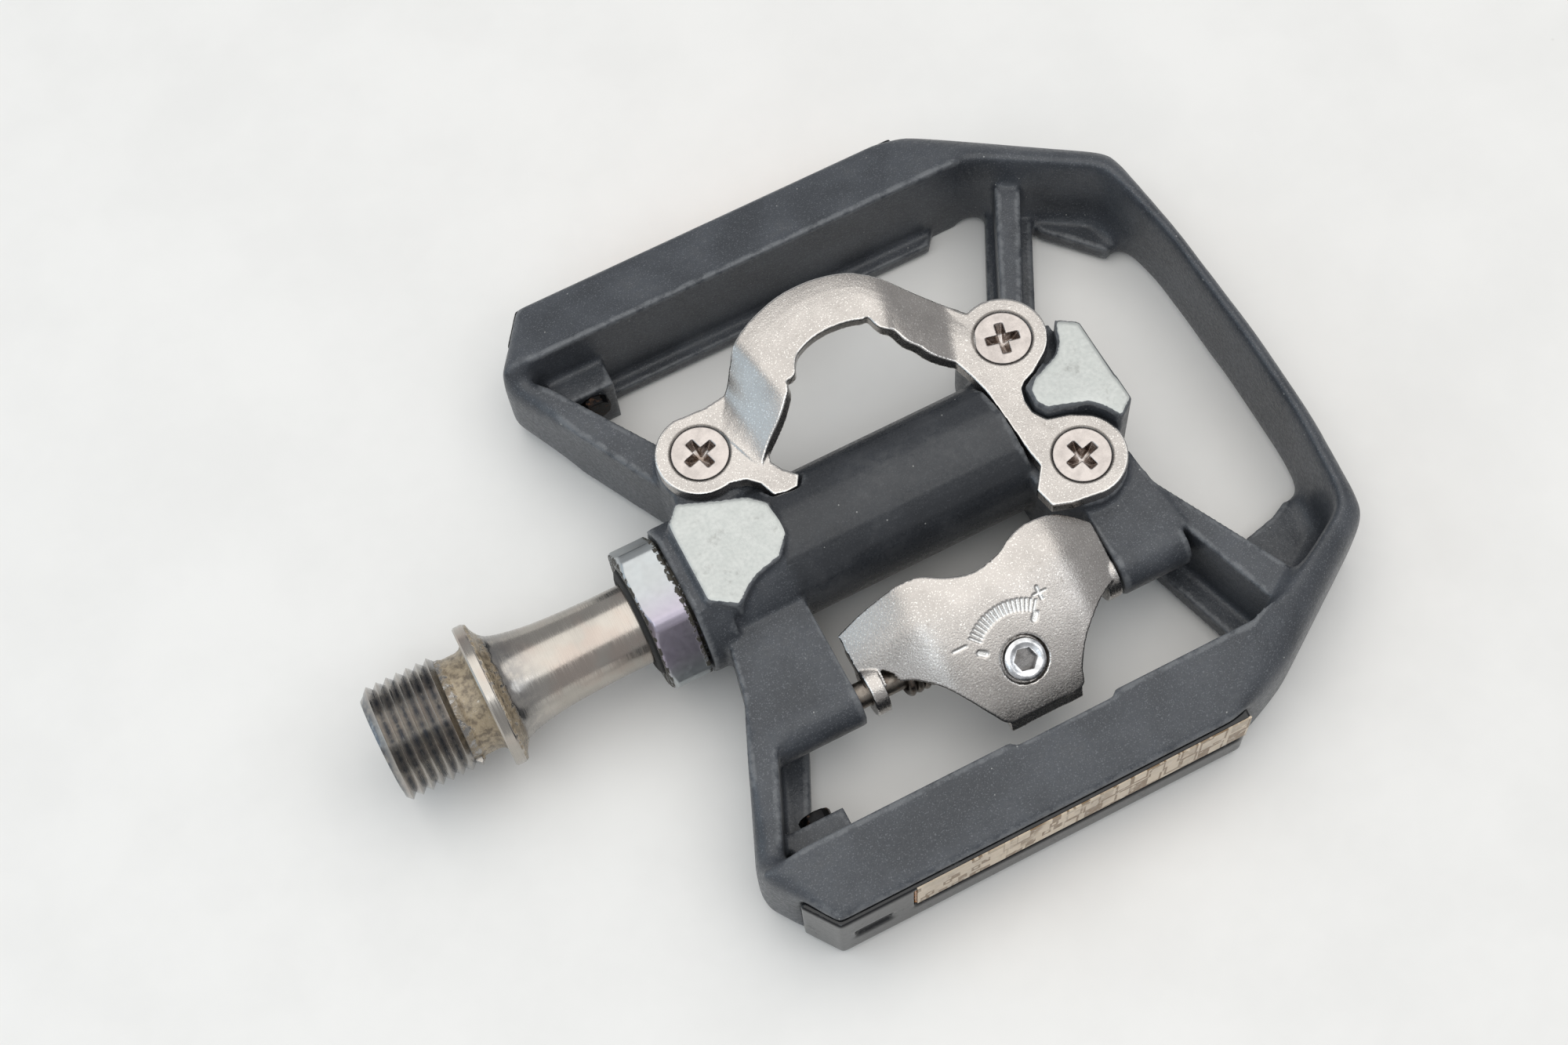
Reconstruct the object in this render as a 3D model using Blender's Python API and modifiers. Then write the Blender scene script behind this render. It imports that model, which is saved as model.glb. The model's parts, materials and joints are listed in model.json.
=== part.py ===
"""Single-sided clipless pedal for the right-hand crank of a bicycle, as an assembly of separate solids.

Pedal frame: +X runs outboard along the spindle from the crank's face, +Y points to the toe, +Z is
the cleat side, and the axle's axis is the X axis. An empty carries everything from that frame to the
world frame, whose origin is the centre of the bottom of the pedal's bounding box.
Lengths below are in millimetres and are turned into metres by MM where a mesh is made.
"""

import math

import bmesh
import bpy
from mathutils import Matrix, Vector

MM = 0.001
MERGE = 1e-6

# ---------------------------------------------------------------- driving dimensions
# Platform casting
HALF_DEPTH = 43.8           # axle to the outer edge of the front or rear rail
INNER_X = 24.4              # inboard corner of both rails
OUTER_X = 103.2             # outboard face of the platform
RAIL_WIDTH = 8.9
RAIL_END_SLANT = 6.3        # how far the rail's inner edge runs inboard of its outer edge
RAIL_TOP_INNER_Z = 5.5
RAIL_TOP_OUTER_Z = 3.0
OUTBOARD_WALL = 2.5
BOTTOM_Z = -10.5
BOTTOM_DRAFT = 0.8
CORNER_LENGTH = 25.0        # along X, from the outboard face to the end of a straight rail
CORNER_DEPTH = 15.2         # along Y, cut off each outboard corner
LEDGE_WIDTH = 2.0
LEDGE_TOP_Z = -8.0
STRUT_TOP_Z = 3.0
STRUT_BOTTOM_Z = -9.0
INBOARD_STRUT = 2.8
STRUT_ROOT = 1.0            # how far struts, lugs and ledges run into a rail

# Barrel and its bore
BARREL_R = 8.26
HOUSING_R = 9.3
HOUSING_X = 25.7            # inboard face of the barrel
HOUSING_LENGTH = 4.0
BARREL_END_X = 77.0
BORE_R = 7.0
BORE_END_X = 68.5
BORE_WALL = 0.5             # least wall left between the claw's pocket and the bore

# Cleat side
PLATE_TOP_Z = 7.0
PLATE_THICKNESS = 2.0
PAD_TOP_Z = 8.5
PAD_EDGE_X = 27.5           # inboard edge of the inboard pad
RIM_DROP = 0.7              # the housing's rim lies this far below the pads
SCREW_A = (35.3, 13.2)
SCREW_B = (74.2, 9.7)
SCREW_C = (74.9, -8.3)
RING_R = 5.4
BOSS_R = 5.6
SCREW_HEAD_R = 3.6
SCREW_SHANK_R = 2.0
SCREW_LENGTH = 9.0
SCREW_HEAD_HEIGHT = 1.5
SCREW_SLOT_DEPTH = 1.5
ARCH_TOP_Z = 11.4
ARCH_THICKNESS = 1.6

# Rear jaw and its adjuster
PIN_Y = -20.4
PIN_Z = 0.0
PIN_R = 1.6
PIN_BOSS_R = 3.3
PIN_SHOWS = 2.6             # length of pin in sight between its inboard boss and the claw
JAW_CENTRE_X = 57.0
JAW_LEFT_X = 41.2
JAW_RIGHT_X = 72.2
JAW_TOP_Z = 7.0
JAW_THICKNESS = 2.2
JAW_SLOPE = math.radians(25.0)
JAW_BEND_Y = -17.0
FLANK_WIDTH = (7.0, 5.6)    # of the claw's falling inboard and outboard flanks
FLANK_FALL = 0.62           # drop of a flank, as a share of its width
EAR_THICKNESS = 1.8
PIN_START_X = 34.2
PIN_REACH = 3.8             # of the pin into its outboard boss
EAR_R = 3.1
BOLT_Y = -26.2
BOLT_R = 1.9
BOLT_HEAD_R = 2.6
BOLT_HEAD_HEIGHT = 1.6
BOLT_LENGTH = 8.2
BOLT_SOCKET_AF = 2.5
BOLT_SOCKET_DEPTH = 1.9
BOLT_SINK = 0.6             # share of the bolt's head that lies below the claw's face
TENSION_PLATE = (10.0, 4.4, 1.4)
TENSION_PLATE_DROP = 3.6    # from the top of the claw to the top of the tension plate
SPRING_WIRE_R = 0.45
SPRING_TURNS = 6

# Spindle and bearings
THREAD_R = 7.1
THREAD_LENGTH = 13.0
THREAD_RELIEF = 3.0
FLANGE_R = 8.9
FLANGE_WIDTH = 1.4
SPINDLE_STEP = 0.5          # from the neck down to the journal
SPINDLE_END_X = 66.0
KEY_AF = 8.0
KEY_DEPTH = 8.0
COLLAR_X = 20.3
COLLAR_WIDTH = 5.0
COLLAR_AF = 17.0
COLLAR_CORNER_R = 9.45
COLLAR_NECK = 7.4
COLLAR_CLEAR = 0.25         # all round the spindle, which the collar only surrounds
SEAL_WIDTH = 2.2
SEAL_WALL = 1.6
BALL_COUNT = 12
SLEEVE_WALL = 0.93
INNER_ROW_X = 48.0
OUTER_ROW_X = 57.0
SLEEVE_X = 34.0
SLEEVE_END_X = 61.4
CONE_FACE = 0.35            # how far the cone's face stands out inboard of its shoulder
CONE_END_X = 61.8
LOCKNUT_X = 62.2
LOCKNUT_WIDTH = 2.6
LOCKNUT_AF = 9.0

# Reflectors
CARRIER_THICKNESS = 2.3
CARRIER_PROUD = 0.4
CARRIER_TOP_Z = 1.9
CARRIER_BOTTOM_Z = -9.4
CARRIER_END_X = 77.0
LENS_X = 33.6
LENS_END_X = 76.0
LENS_TOP_Z = 1.2
LENS_BOTTOM_Z = -5.2
LENS_DEPTH = 1.2            # from the carrier's face to the back of the lens
LABEL_THICKNESS = 0.25
LUG_X = (23.6, 31.2)
LUG_DEPTH = 4.0
LUG_TOP_Z = -1.5
REFLECTOR_SCREW_R = 1.2
REFLECTOR_SCREW_Z = -4.2
REFLECTOR_SCREWS_X = (28.0,)

# Clearances
FIT = 0.08                  # between pieces that turn or slide on each other
BALL_GAP = 0.06             # between a ball and the cone or the spindle's tail
SEAT = 0.05                 # between pieces that sit against each other
GAP = 0.3                   # between neighbours that only lie near each other

ROUND = 36                  # sides of a turned piece; a multiple of 12, so that 30 degree turns match

# Sizes that follow from those above
RAIL_INNER_Y = HALF_DEPTH - RAIL_WIDTH
PLATE_BOTTOM_Z = PLATE_TOP_Z - PLATE_THICKNESS
PIN_END_X = JAW_RIGHT_X + PIN_REACH
SPRING_R = PIN_R + GAP + SPRING_WIRE_R
NECK_BORE_R = BORE_R + 0.4
BALL_STEP = math.sin(math.pi / BALL_COUNT)  # half the chord between neighbours, as a share of the pitch
BALL_PITCH_R = (BORE_R - SEAT - SLEEVE_WALL - FIT / 2) / (1 + BALL_STEP)
BALL_R = BALL_PITCH_R * BALL_STEP - FIT / 2
JOURNAL_R = BALL_PITCH_R - 0.2
SPINDLE_R = JOURNAL_R + SPINDLE_STEP
CONE_X = OUTER_ROW_X + BALL_R + BALL_GAP + CONE_FACE
TAIL_R = BALL_PITCH_R - BALL_R - BALL_GAP
TAIL_THREAD_R = TAIL_R - 0.5
ORIGIN = Vector(((OUTER_X - THREAD_LENGTH) / 2, 0.0, BOTTOM_Z))


# ---------------------------------------------------------------- scene
def clear_scene():
    for obj in list(bpy.data.objects):
        bpy.data.objects.remove(obj)


def make_collection(name, hidden=False):
    collection = bpy.data.collections.new(name)
    collection.hide_render = hidden
    bpy.context.scene.collection.children.link(collection)
    return collection


clear_scene()
PARTS = make_collection("clipless_pedal")
CUTTERS = make_collection("cutters", hidden=True)
FRAME = bpy.data.objects.new("pedal_frame", None)
FRAME.location = -ORIGIN * MM
PARTS.objects.link(FRAME)


def material(name, colour, roughness, metallic=0.0):
    made = bpy.data.materials.new(name)
    made.use_nodes = True
    shader = made.node_tree.nodes["Principled BSDF"]
    shader.inputs["Base Color"].default_value = (*colour, 1.0)
    shader.inputs["Roughness"].default_value = roughness
    shader.inputs["Metallic"].default_value = metallic
    return made


BODY_PAINT = ((0.020, 0.023, 0.028), 0.55, 0.2)
BARE_ALLOY = ((0.62, 0.64, 0.62), 0.45, 0.9)
NICKEL = ((0.56, 0.53, 0.50), 0.32, 1.0)
POLISHED_STEEL = ((0.52, 0.49, 0.46), 0.25, 1.0)
BEARING_STEEL = ((0.62, 0.62, 0.62), 0.12, 1.0)
DARK_STEEL = ((0.16, 0.16, 0.17), 0.35, 1.0)
SEAL_RUBBER = ((0.03, 0.03, 0.03), 0.8, 0.0)
BUSHING_RESIN = ((0.12, 0.11, 0.10), 0.6, 0.0)
CARRIER_PLASTIC = ((0.02, 0.02, 0.022), 0.25, 0.0)
AMBER_LENS = ((0.85, 0.36, 0.03), 0.1, 0.0)
LABEL_PAPER = ((0.72, 0.63, 0.48), 0.6, 0.0)


# ---------------------------------------------------------------- shape helpers
def add_object(name, mesh, finish=None, place=(0.0, 0.0, 0.0)):
    """Link a mesh as a part with its own material, or as a hidden cutter where no finish is given."""
    obj = bpy.data.objects.new(name, mesh)
    obj.parent = FRAME
    obj.location = Vector(place) * MM
    if finish is None:
        CUTTERS.objects.link(obj)
        obj.hide_render = True
        obj.display_type = "WIRE"
    else:
        PARTS.objects.link(obj)
        mesh.materials.clear()
        mesh.materials.append(material(name, *finish))
    return obj


def evaluated_mesh(obj):
    """The object's mesh as its modifiers leave it, free of loose doubles."""
    graph = bpy.context.evaluated_depsgraph_get()
    graph.update()
    mesh = bpy.data.meshes.new_from_object(obj.evaluated_get(graph))
    work = bmesh.new()
    work.from_mesh(mesh)
    bmesh.ops.remove_doubles(work, verts=work.verts, dist=MERGE)
    bmesh.ops.recalc_face_normals(work, faces=work.faces)
    work.to_mesh(mesh)
    work.free()
    return mesh


def prism_mesh(name, outline, low, high):
    """A flat outline of (x, y) points, filled as a 2D curve and extruded from low to high along Z."""
    curve = bpy.data.curves.new(name, "CURVE")
    curve.dimensions = "2D"
    curve.fill_mode = "BOTH"
    curve.extrude = (high - low) / 2 * MM
    spline = curve.splines.new("POLY")
    spline.points.add(len(outline) - 1)
    for point, (x, y) in zip(spline.points, outline):
        point.co = (x * MM, y * MM, 0.0, 1.0)
    spline.use_cyclic_u = True
    obj = bpy.data.objects.new(name, curve)
    CUTTERS.objects.link(obj)
    mesh = evaluated_mesh(obj)
    mesh.transform(Matrix.Translation((0.0, 0.0, (low + high) / 2 * MM)))
    bpy.data.objects.remove(obj)
    bpy.data.curves.remove(curve)
    return mesh


def prism(name, outline, low, high, finish=None):
    return add_object(name, prism_mesh(name, outline, low, high), finish)


def box(name, low, high, finish=None):
    """A box between two corners, with its scale already in the mesh."""
    work = bmesh.new()
    bmesh.ops.create_cube(work, size=1.0)
    low, high = Vector(low), Vector(high)
    size = high - low
    for vert in work.verts:
        vert.co = Vector([c * s for c, s in zip(vert.co, size)]) * MM + (low + high) / 2 * MM
    mesh = bpy.data.meshes.new(name)
    work.to_mesh(mesh)
    work.free()
    return add_object(name, mesh, finish)


def cylinder(name, start, end, radius, sides=ROUND, end_radius=None, finish=None):
    """A cylinder or cone between two points; a flat of its side faces +Z where sides is even."""
    start, end = Vector(start), Vector(end)
    axis = end - start
    work = bmesh.new()
    bmesh.ops.create_cone(
        work,
        cap_ends=True,
        segments=sides,
        radius1=radius * MM,
        radius2=(radius if end_radius is None else end_radius) * MM,
        depth=axis.length * MM,
    )
    turn = Vector((0.0, 0.0, 1.0)).rotation_difference(axis).to_matrix().to_4x4()
    work.transform(Matrix.Translation((start + end) / 2 * MM) @ turn)
    mesh = bpy.data.meshes.new(name)
    work.to_mesh(mesh)
    work.free()
    return add_object(name, mesh, finish)


def turned(name, profile, finish=None, sides=ROUND, closed_ring=False):
    """Turn a profile of (x, radius) points round the axle with a Screw modifier.

    The profile runs from outboard to inboard over the outer side; a ring's profile is a loop.
    """
    work = bmesh.new()
    verts = [work.verts.new((radius * MM, 0.0, x * MM)) for x, radius in profile]
    for first, second in zip(verts, verts[1:]):
        work.edges.new((first, second))
    if closed_ring:
        work.edges.new((verts[-1], verts[0]))
    mesh = bpy.data.meshes.new(name)
    work.to_mesh(mesh)
    work.free()
    obj = bpy.data.objects.new(name, mesh)
    CUTTERS.objects.link(obj)
    screw = obj.modifiers.new("turn", "SCREW")
    screw.axis = "Z"
    screw.angle = 2 * math.pi
    screw.steps = sides
    screw.render_steps = sides
    screw.use_merge_vertices = True
    screw.merge_threshold = 1e-5
    solid = evaluated_mesh(obj)
    bpy.data.objects.remove(obj)
    bpy.data.meshes.remove(mesh)
    # The axis of turning goes from Z to X; the first profile then lies in the XZ plane.
    solid.transform(Matrix.Rotation(math.pi / 2, 4, "Y"))
    solid.shade_smooth()
    solid.set_sharp_from_angle(angle=math.radians(35))
    return add_object(name, solid, finish)


def loft_mesh(name, sections):
    """Skin a row of unlike sections that have the same number of points, and cap both ends."""
    work = bmesh.new()
    rings = [[work.verts.new(Vector(point) * MM) for point in section] for section in sections]
    count = len(rings[0])
    for near, far in zip(rings, rings[1:]):
        for i in range(count):
            j = (i + 1) % count
            work.faces.new((near[i], near[j], far[j], far[i]))
    work.faces.new(rings[0])
    work.faces.new(list(reversed(rings[-1])))
    bmesh.ops.recalc_face_normals(work, faces=work.faces)
    mesh = bpy.data.meshes.new(name)
    work.to_mesh(mesh)
    work.free()
    return mesh


def shell(name, rows, thickness, finish=None):
    """An open surface of rows of points, given a wall below it with Solidify."""
    work = bmesh.new()
    grid = [[work.verts.new(Vector(point) * MM) for point in row] for row in rows]
    for near, far in zip(grid, grid[1:]):
        for i in range(len(near) - 1):
            work.faces.new((near[i], near[i + 1], far[i + 1], far[i]))
    work.normal_update()
    if sum(face.normal.z for face in work.faces) < 0:
        bmesh.ops.reverse_faces(work, faces=work.faces)
    mesh = bpy.data.meshes.new(name)
    work.to_mesh(mesh)
    work.free()
    obj = add_object(name, mesh, finish)
    wall = obj.modifiers.new("wall", "SOLIDIFY")
    wall.thickness = thickness * MM
    wall.offset = -1.0
    wall.use_even_offset = True
    return obj


def combine(obj, others, operation, label):
    """Join to, or cut from, an object every solid in a list, with one exact Boolean."""
    group = bpy.data.collections.new(f"{obj.name}_{label}")
    group.hide_render = True
    CUTTERS.children.link(group)
    for other in others:
        CUTTERS.objects.unlink(other)
        group.objects.link(other)
    boolean = obj.modifiers.new(label, "BOOLEAN")
    boolean.operation = operation
    boolean.solver = "EXACT"
    boolean.operand_type = "COLLECTION"
    boolean.collection = group


def join(obj, others, label="joined"):
    combine(obj, others, "UNION", label)


def cut(obj, others, label="cut"):
    combine(obj, others, "DIFFERENCE", label)


def arc(centre, radius, start, end, count):
    """Points along an arc of a circle, from its start to its end angle in degrees."""
    step = (end - start) / (count - 1)
    angles = [math.radians(start + step * i) for i in range(count)]
    return [(centre[0] + radius * math.cos(a), centre[1] + radius * math.sin(a)) for a in angles]


def grown(outline, distance):
    """The outline with every edge moved outwards by a distance, whichever way round it runs."""
    points = [Vector(point) for point in outline]
    area = sum(a.x * b.y - b.x * a.y for a, b in zip(points, points[1:] + points[:1]))
    turn = math.copysign(1.0, area)
    moved = []
    for before, here, after in zip(points[-1:] + points[:-1], points, points[1:] + points[:1]):
        first = (here - before).normalized()
        second = (after - here).normalized()
        normal = Vector((first.y + second.y, -first.x - second.x)).normalized() * turn
        reach = distance / max(0.5, abs(normal.dot(Vector((first.y, -first.x)))))
        moved.append(tuple(here + normal * reach))
    return moved


def mirrored(points, side):
    """The same outline on the front (side 1) or the rear (side -1)."""
    return [(x, side * y) for x, y in points]


def hexagon_r(across_flats):
    return across_flats / math.sqrt(3)


# ---------------------------------------------------------------- platform casting
def ring_sections():
    """Cross-sections of the outer frame, from the front rail's inboard end round to the rear's."""
    corner_y = HALF_DEPTH - CORNER_DEPTH
    side = OUTER_X - OUTBOARD_WALL
    front = [
        ((INNER_X, HALF_DEPTH), (INNER_X - RAIL_END_SLANT, RAIL_INNER_Y), RAIL_TOP_INNER_Z),
        ((OUTER_X - CORNER_LENGTH, HALF_DEPTH),
         (OUTER_X - CORNER_LENGTH + 5.2, RAIL_INNER_Y), RAIL_TOP_INNER_Z),
        ((OUTER_X - 2.6, corner_y), (side - 2.9, corner_y - 2.6), 5.0),
        ((OUTER_X - 1.0, corner_y * 0.52), (side - 0.7, corner_y * 0.5), 4.8),
    ]
    middle = [((OUTER_X, corner_y * -0.1), (side, corner_y * -0.1), 4.8)]
    rear = [
        ((OUTER_X, corner_y * -0.52), (side, corner_y * -0.5), 4.8),
        ((OUTER_X - 1.2, -corner_y), (side - 1.4, 2.1 - corner_y), 5.0),
        ((OUTER_X - CORNER_LENGTH + 6.0, 3.2 - HALF_DEPTH),
         (OUTER_X - CORNER_LENGTH + 9.8, 2.0 - RAIL_INNER_Y), RAIL_TOP_INNER_Z),
        ((OUTER_X - CORNER_LENGTH - 1.6, -HALF_DEPTH),
         (OUTER_X - CORNER_LENGTH + 4.0, -RAIL_INNER_Y), RAIL_TOP_INNER_Z),
        ((INNER_X, -HALF_DEPTH), (INNER_X - RAIL_END_SLANT, -RAIL_INNER_Y), RAIL_TOP_INNER_Z),
    ]
    sections = []
    for outer, inner, inner_z in front + middle + rear:
        outer, inner = Vector(outer), Vector(inner)
        inward = (inner - outer).normalized()
        foot = outer + inward * BOTTOM_DRAFT
        sections.append([
            (*outer, RAIL_TOP_OUTER_Z),
            (*inner, inner_z),
            (*inner, BOTTOM_Z),
            (*foot, BOTTOM_Z),
            (*outer, BOTTOM_Z + 2.5 * BOTTOM_DRAFT),
        ])
    return sections


def carrier_outline(side, grow):
    """Plan of a reflector carrier, which wraps the rail's slanted inboard end; grow widens it."""
    slant = Vector((RAIL_END_SLANT, RAIL_WIDTH)).normalized()
    wrap = 5.0
    outer_y = HALF_DEPTH + CARRIER_PROUD + grow
    inner_y = HALF_DEPTH + CARRIER_PROUD - CARRIER_THICKNESS - grow
    out = Vector((-slant.y, slant.x)) * (CARRIER_PROUD + grow)
    back = Vector((slant.y, -slant.x)) * (CARRIER_THICKNESS - CARRIER_PROUD + grow)
    corner = Vector((INNER_X, HALF_DEPTH))
    start = corner - slant * (wrap + grow)
    outer_corner = corner + out + slant * ((outer_y - corner.y - out.y) / slant.y)
    inner_corner = corner + back + slant * ((inner_y - corner.y - back.y) / slant.y)
    end = CARRIER_END_X + grow
    points = [start + out, outer_corner, (end, outer_y), (end, inner_y), inner_corner, start + back]
    return mirrored([tuple(point) for point in points], side)


def lug_box(side):
    y = sorted((side * (RAIL_INNER_Y - LUG_DEPTH), side * (RAIL_INNER_Y + STRUT_ROOT)))
    return box(f"lug_{side}", (LUG_X[0], y[0], BOTTOM_Z), (LUG_X[1], y[1], LUG_TOP_Z))


def screw_line(side, x):
    """Both ends of a reflector screw, which runs through the rail into the carrier."""
    head = side * (RAIL_INNER_Y - LUG_DEPTH)
    tip = side * (HALF_DEPTH + CARRIER_PROUD - 0.8)
    return (x, head, REFLECTOR_SCREW_Z), (x, tip, REFLECTOR_SCREW_Z)


INBOARD_PAD = [
    (27.4, -4.8), (30.8, -7.1), (32.4, -5.7), (34.2, -4.6), (37.6, -3.8), (39.4, -1.6),
    (39.4, 3.2), (37.5, 5.0), (33.0, 6.7), (29.6, 8.2), (27.6, 6.0),
]
OUTBOARD_PAD = [
    (82.9, 6.7), (80.5, 8.3), (79.9, 7.4), (79.3, 5.5), (78.2, 4.2), (75.8, 3.2), (74.3, 2.6),
    (73.4, 1.4), (73.3, -0.4), (74.1, -1.8), (75.6, -2.3), (78.6, -3.4), (79.9, -4.9),
    (81.0, -6.9), (83.3, -5.2),
]


def make_body():
    body = add_object("pedal_body", loft_mesh("pedal_body", ring_sections()), BODY_PAINT)
    rail_y = RAIL_INNER_Y + STRUT_ROOT
    solids = [
        cylinder("barrel", (HOUSING_X, 0, 0), (BARREL_END_X, 0, 0), BARREL_R),
        cylinder("housing", (HOUSING_X, 0, 0), (HOUSING_X + HOUSING_LENGTH, 0, 0), HOUSING_R),
        prism("inboard_pad", INBOARD_PAD, -6.0, PAD_TOP_Z + 0.5),
        prism("outboard_pad", OUTBOARD_PAD, -5.0, PAD_TOP_Z + 0.5),
        box("end_block", (68.8, SCREW_C[1], -7.0), (80.6, SCREW_B[1], PLATE_BOTTOM_Z - SEAT)),
    ]
    for name, (x, y) in (("boss_a", SCREW_A), ("boss_b", SCREW_B), ("boss_c", SCREW_C)):
        solids.append(cylinder(name, (x, y, -6.0), (x, y, PLATE_BOTTOM_Z - SEAT), BOSS_R, 24))
    # Web that carries boss A from the housing
    web = [(29.5, 3.0), (41.0, 3.0), (40.2, SCREW_A[1]), (30.4, SCREW_A[1])]
    solids.append(prism("boss_web", web, -5.5, PLATE_BOTTOM_Z - 0.4))
    # Front inboard strut, from boss A to the end of the front rail
    tip_x = INNER_X - RAIL_END_SLANT
    strut = [
        (SCREW_A[0] - BOSS_R + 0.4, SCREW_A[1] - 1.0), (SCREW_A[0] - 2.0, SCREW_A[1] + 3.0),
        (tip_x + INBOARD_STRUT, rail_y), (tip_x + 0.4, rail_y), (tip_x + 0.1, RAIL_INNER_Y),
    ]
    solids.append(prism("front_strut", strut, STRUT_BOTTOM_Z, STRUT_TOP_Z))
    # Rear inboard strut with its inner foot, and the arm that holds the pin's inboard end
    rear = [
        (31.5, -4.0), (tip_x + 0.1, -RAIL_INNER_Y), (tip_x + 0.4, -rail_y),
        (tip_x + INBOARD_STRUT + 0.6, -rail_y), (34.5, -6.0),
    ]
    solids.append(prism("rear_strut", rear, STRUT_BOTTOM_Z, STRUT_TOP_Z))
    foot = [
        (30.0, -12.0), (tip_x + 1.5, -rail_y), (tip_x + 6.5, -rail_y), (31.5, PIN_Y - 1.0),
        (33.5, -12.0),
    ]
    solids.append(prism("strut_foot", foot, BOTTOM_Z + 0.8, -6.5))
    arm_end = JAW_LEFT_X - GAP - PIN_SHOWS
    arm = [(29.0, -4.0), (arm_end, -4.0), (arm_end, PIN_Y), (25.5, PIN_Y)]
    solids.append(prism("pin_arm", arm, -PIN_BOSS_R + 0.1, PIN_BOSS_R - 0.1))
    solids.append(cylinder("pin_boss", (27.5, PIN_Y, PIN_Z), (arm_end, PIN_Y, PIN_Z), PIN_BOSS_R, 24))
    # Outboard pin boss and the rear outboard strut
    boss_x = JAW_RIGHT_X + GAP
    arm = [(boss_x, -6.0), (80.8, -6.0), (82.4, PIN_Y), (boss_x, PIN_Y)]
    solids.append(prism("outer_arm", arm, -PIN_BOSS_R + 0.1, PIN_BOSS_R - 0.1))
    solids.append(cylinder("outer_boss", (boss_x, PIN_Y, PIN_Z), (81.5, PIN_Y, PIN_Z), PIN_BOSS_R, 24))
    end = (OUTER_X - 13.4, -RAIL_INNER_Y)
    strut = [
        (79.4, -9.0), (end[0] + 1.2, end[1] + 2.8), (end[0] + 1.0, end[1] - 1.2),
        (end[0] - 2.6, end[1] - 1.2), (81.4, PIN_Y + 1.5), (78.4, PIN_Y + 4.0),
    ]
    solids.append(prism("rear_outboard_strut", strut, STRUT_BOTTOM_Z, STRUT_TOP_Z - 0.1))
    flange = [(77.6, -16.0), (82.0, -16.0), (end[0], end[1] - 1.2), (end[0] - 6.0, end[1] - 1.2)]
    solids.append(prism("rear_flange", flange, BOTTOM_Z + 0.7, -7.0))
    # Front outboard strut: a thin rib on a wider foot
    end = (OUTER_X - 14.2, RAIL_INNER_Y - 1.2)
    rib = [
        (SCREW_B[0] + 1.2, SCREW_B[1] + 1.6), (end[0] - 1.5, end[1] + 2.2),
        (end[0] + 1.5, end[1] + 0.6), (SCREW_B[0] + 3.6, SCREW_B[1] + 0.8),
    ]
    solids.append(prism("front_outboard_rib", rib, STRUT_BOTTOM_Z, 0.2))
    foot = [
        (SCREW_B[0] + 0.2, SCREW_B[1] + 3.0), (end[0] - 2.2, end[1] + 2.8),
        (end[0] + 3.0, end[1] - 0.2), (SCREW_B[0] + 5.0, SCREW_B[1] - 1.0),
    ]
    solids.append(prism("front_outboard_foot", foot, BOTTOM_Z + 0.6, -6.8))
    # Inner ledge of the front rail and the floors of the two outboard corners
    ledge = [
        (LUG_X[1] - 1.0, rail_y), (LUG_X[1] - 1.0, RAIL_INNER_Y - LEDGE_WIDTH),
        (76.7, RAIL_INNER_Y - LEDGE_WIDTH), (79.0, rail_y),
    ]
    solids.append(prism("front_ledge", ledge, BOTTOM_Z + 0.5, LEDGE_TOP_Z))
    corner_y = HALF_DEPTH - CORNER_DEPTH
    floor = [
        (end[0] - 0.5, end[1] - 0.2), (OUTER_X - 1.5, corner_y - 3.0), (OUTER_X - 4.0, corner_y - 8.0),
        (OUTER_X - 7.0, corner_y - 7.6), (end[0] + 1.2, end[1] - 6.0),
    ]
    solids.append(prism("front_corner_floor", floor, BOTTOM_Z + 0.4, LEDGE_TOP_Z + 0.4))
    floor = [
        (OUTER_X - 1.8, 3.0 - corner_y), (OUTER_X - 16.0, -RAIL_INNER_Y - 0.4),
        (OUTER_X - 14.5, 6.0 - corner_y), (OUTER_X - 8.0, 7.5 - corner_y),
        (OUTER_X - 4.0, 9.5 - corner_y),
    ]
    solids.append(prism("rear_corner_floor", floor, BOTTOM_Z + 0.4, LEDGE_TOP_Z + 1.0))
    solids.extend([lug_box(1), lug_box(-1)])
    join(body, solids)

    cutters = [
        cylinder("neck_bore", (HOUSING_X - 1, 0, 0), (HOUSING_X + 8.0, 0, 0), NECK_BORE_R),
        cylinder("bore", (HOUSING_X - 2, 0, 0), (BORE_END_X, 0, 0), BORE_R),
        cylinder("pin_hole", (PIN_START_X - GAP, PIN_Y, PIN_Z), (PIN_END_X + GAP, PIN_Y, PIN_Z),
                 PIN_R + SEAT, 24),
    ]
    for name, (x, y) in (("hole_a", SCREW_A), ("hole_b", SCREW_B), ("hole_c", SCREW_C)):
        depth = PLATE_TOP_Z - SCREW_LENGTH - GAP
        cutters.append(cylinder(name, (x, y, depth), (x, y, PLATE_TOP_Z), SCREW_SHANK_R + SEAT, 24))
    for side, name in ((1, "front"), (-1, "rear")):
        pocket = carrier_outline(side, SEAT * 2)
        cutters.append(prism(f"{name}_pocket", pocket, CARRIER_BOTTOM_Z - SEAT, CARRIER_TOP_Z + SEAT))
        for index, x in enumerate(REFLECTOR_SCREWS_X):
            start, stop = screw_line(side, x)
            over = (x, start[1] - side * 3.0, start[2])
            cutters.append(cylinder(f"{name}_hole_{index}", over, stop, REFLECTOR_SCREW_R + SEAT, 12))
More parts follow.
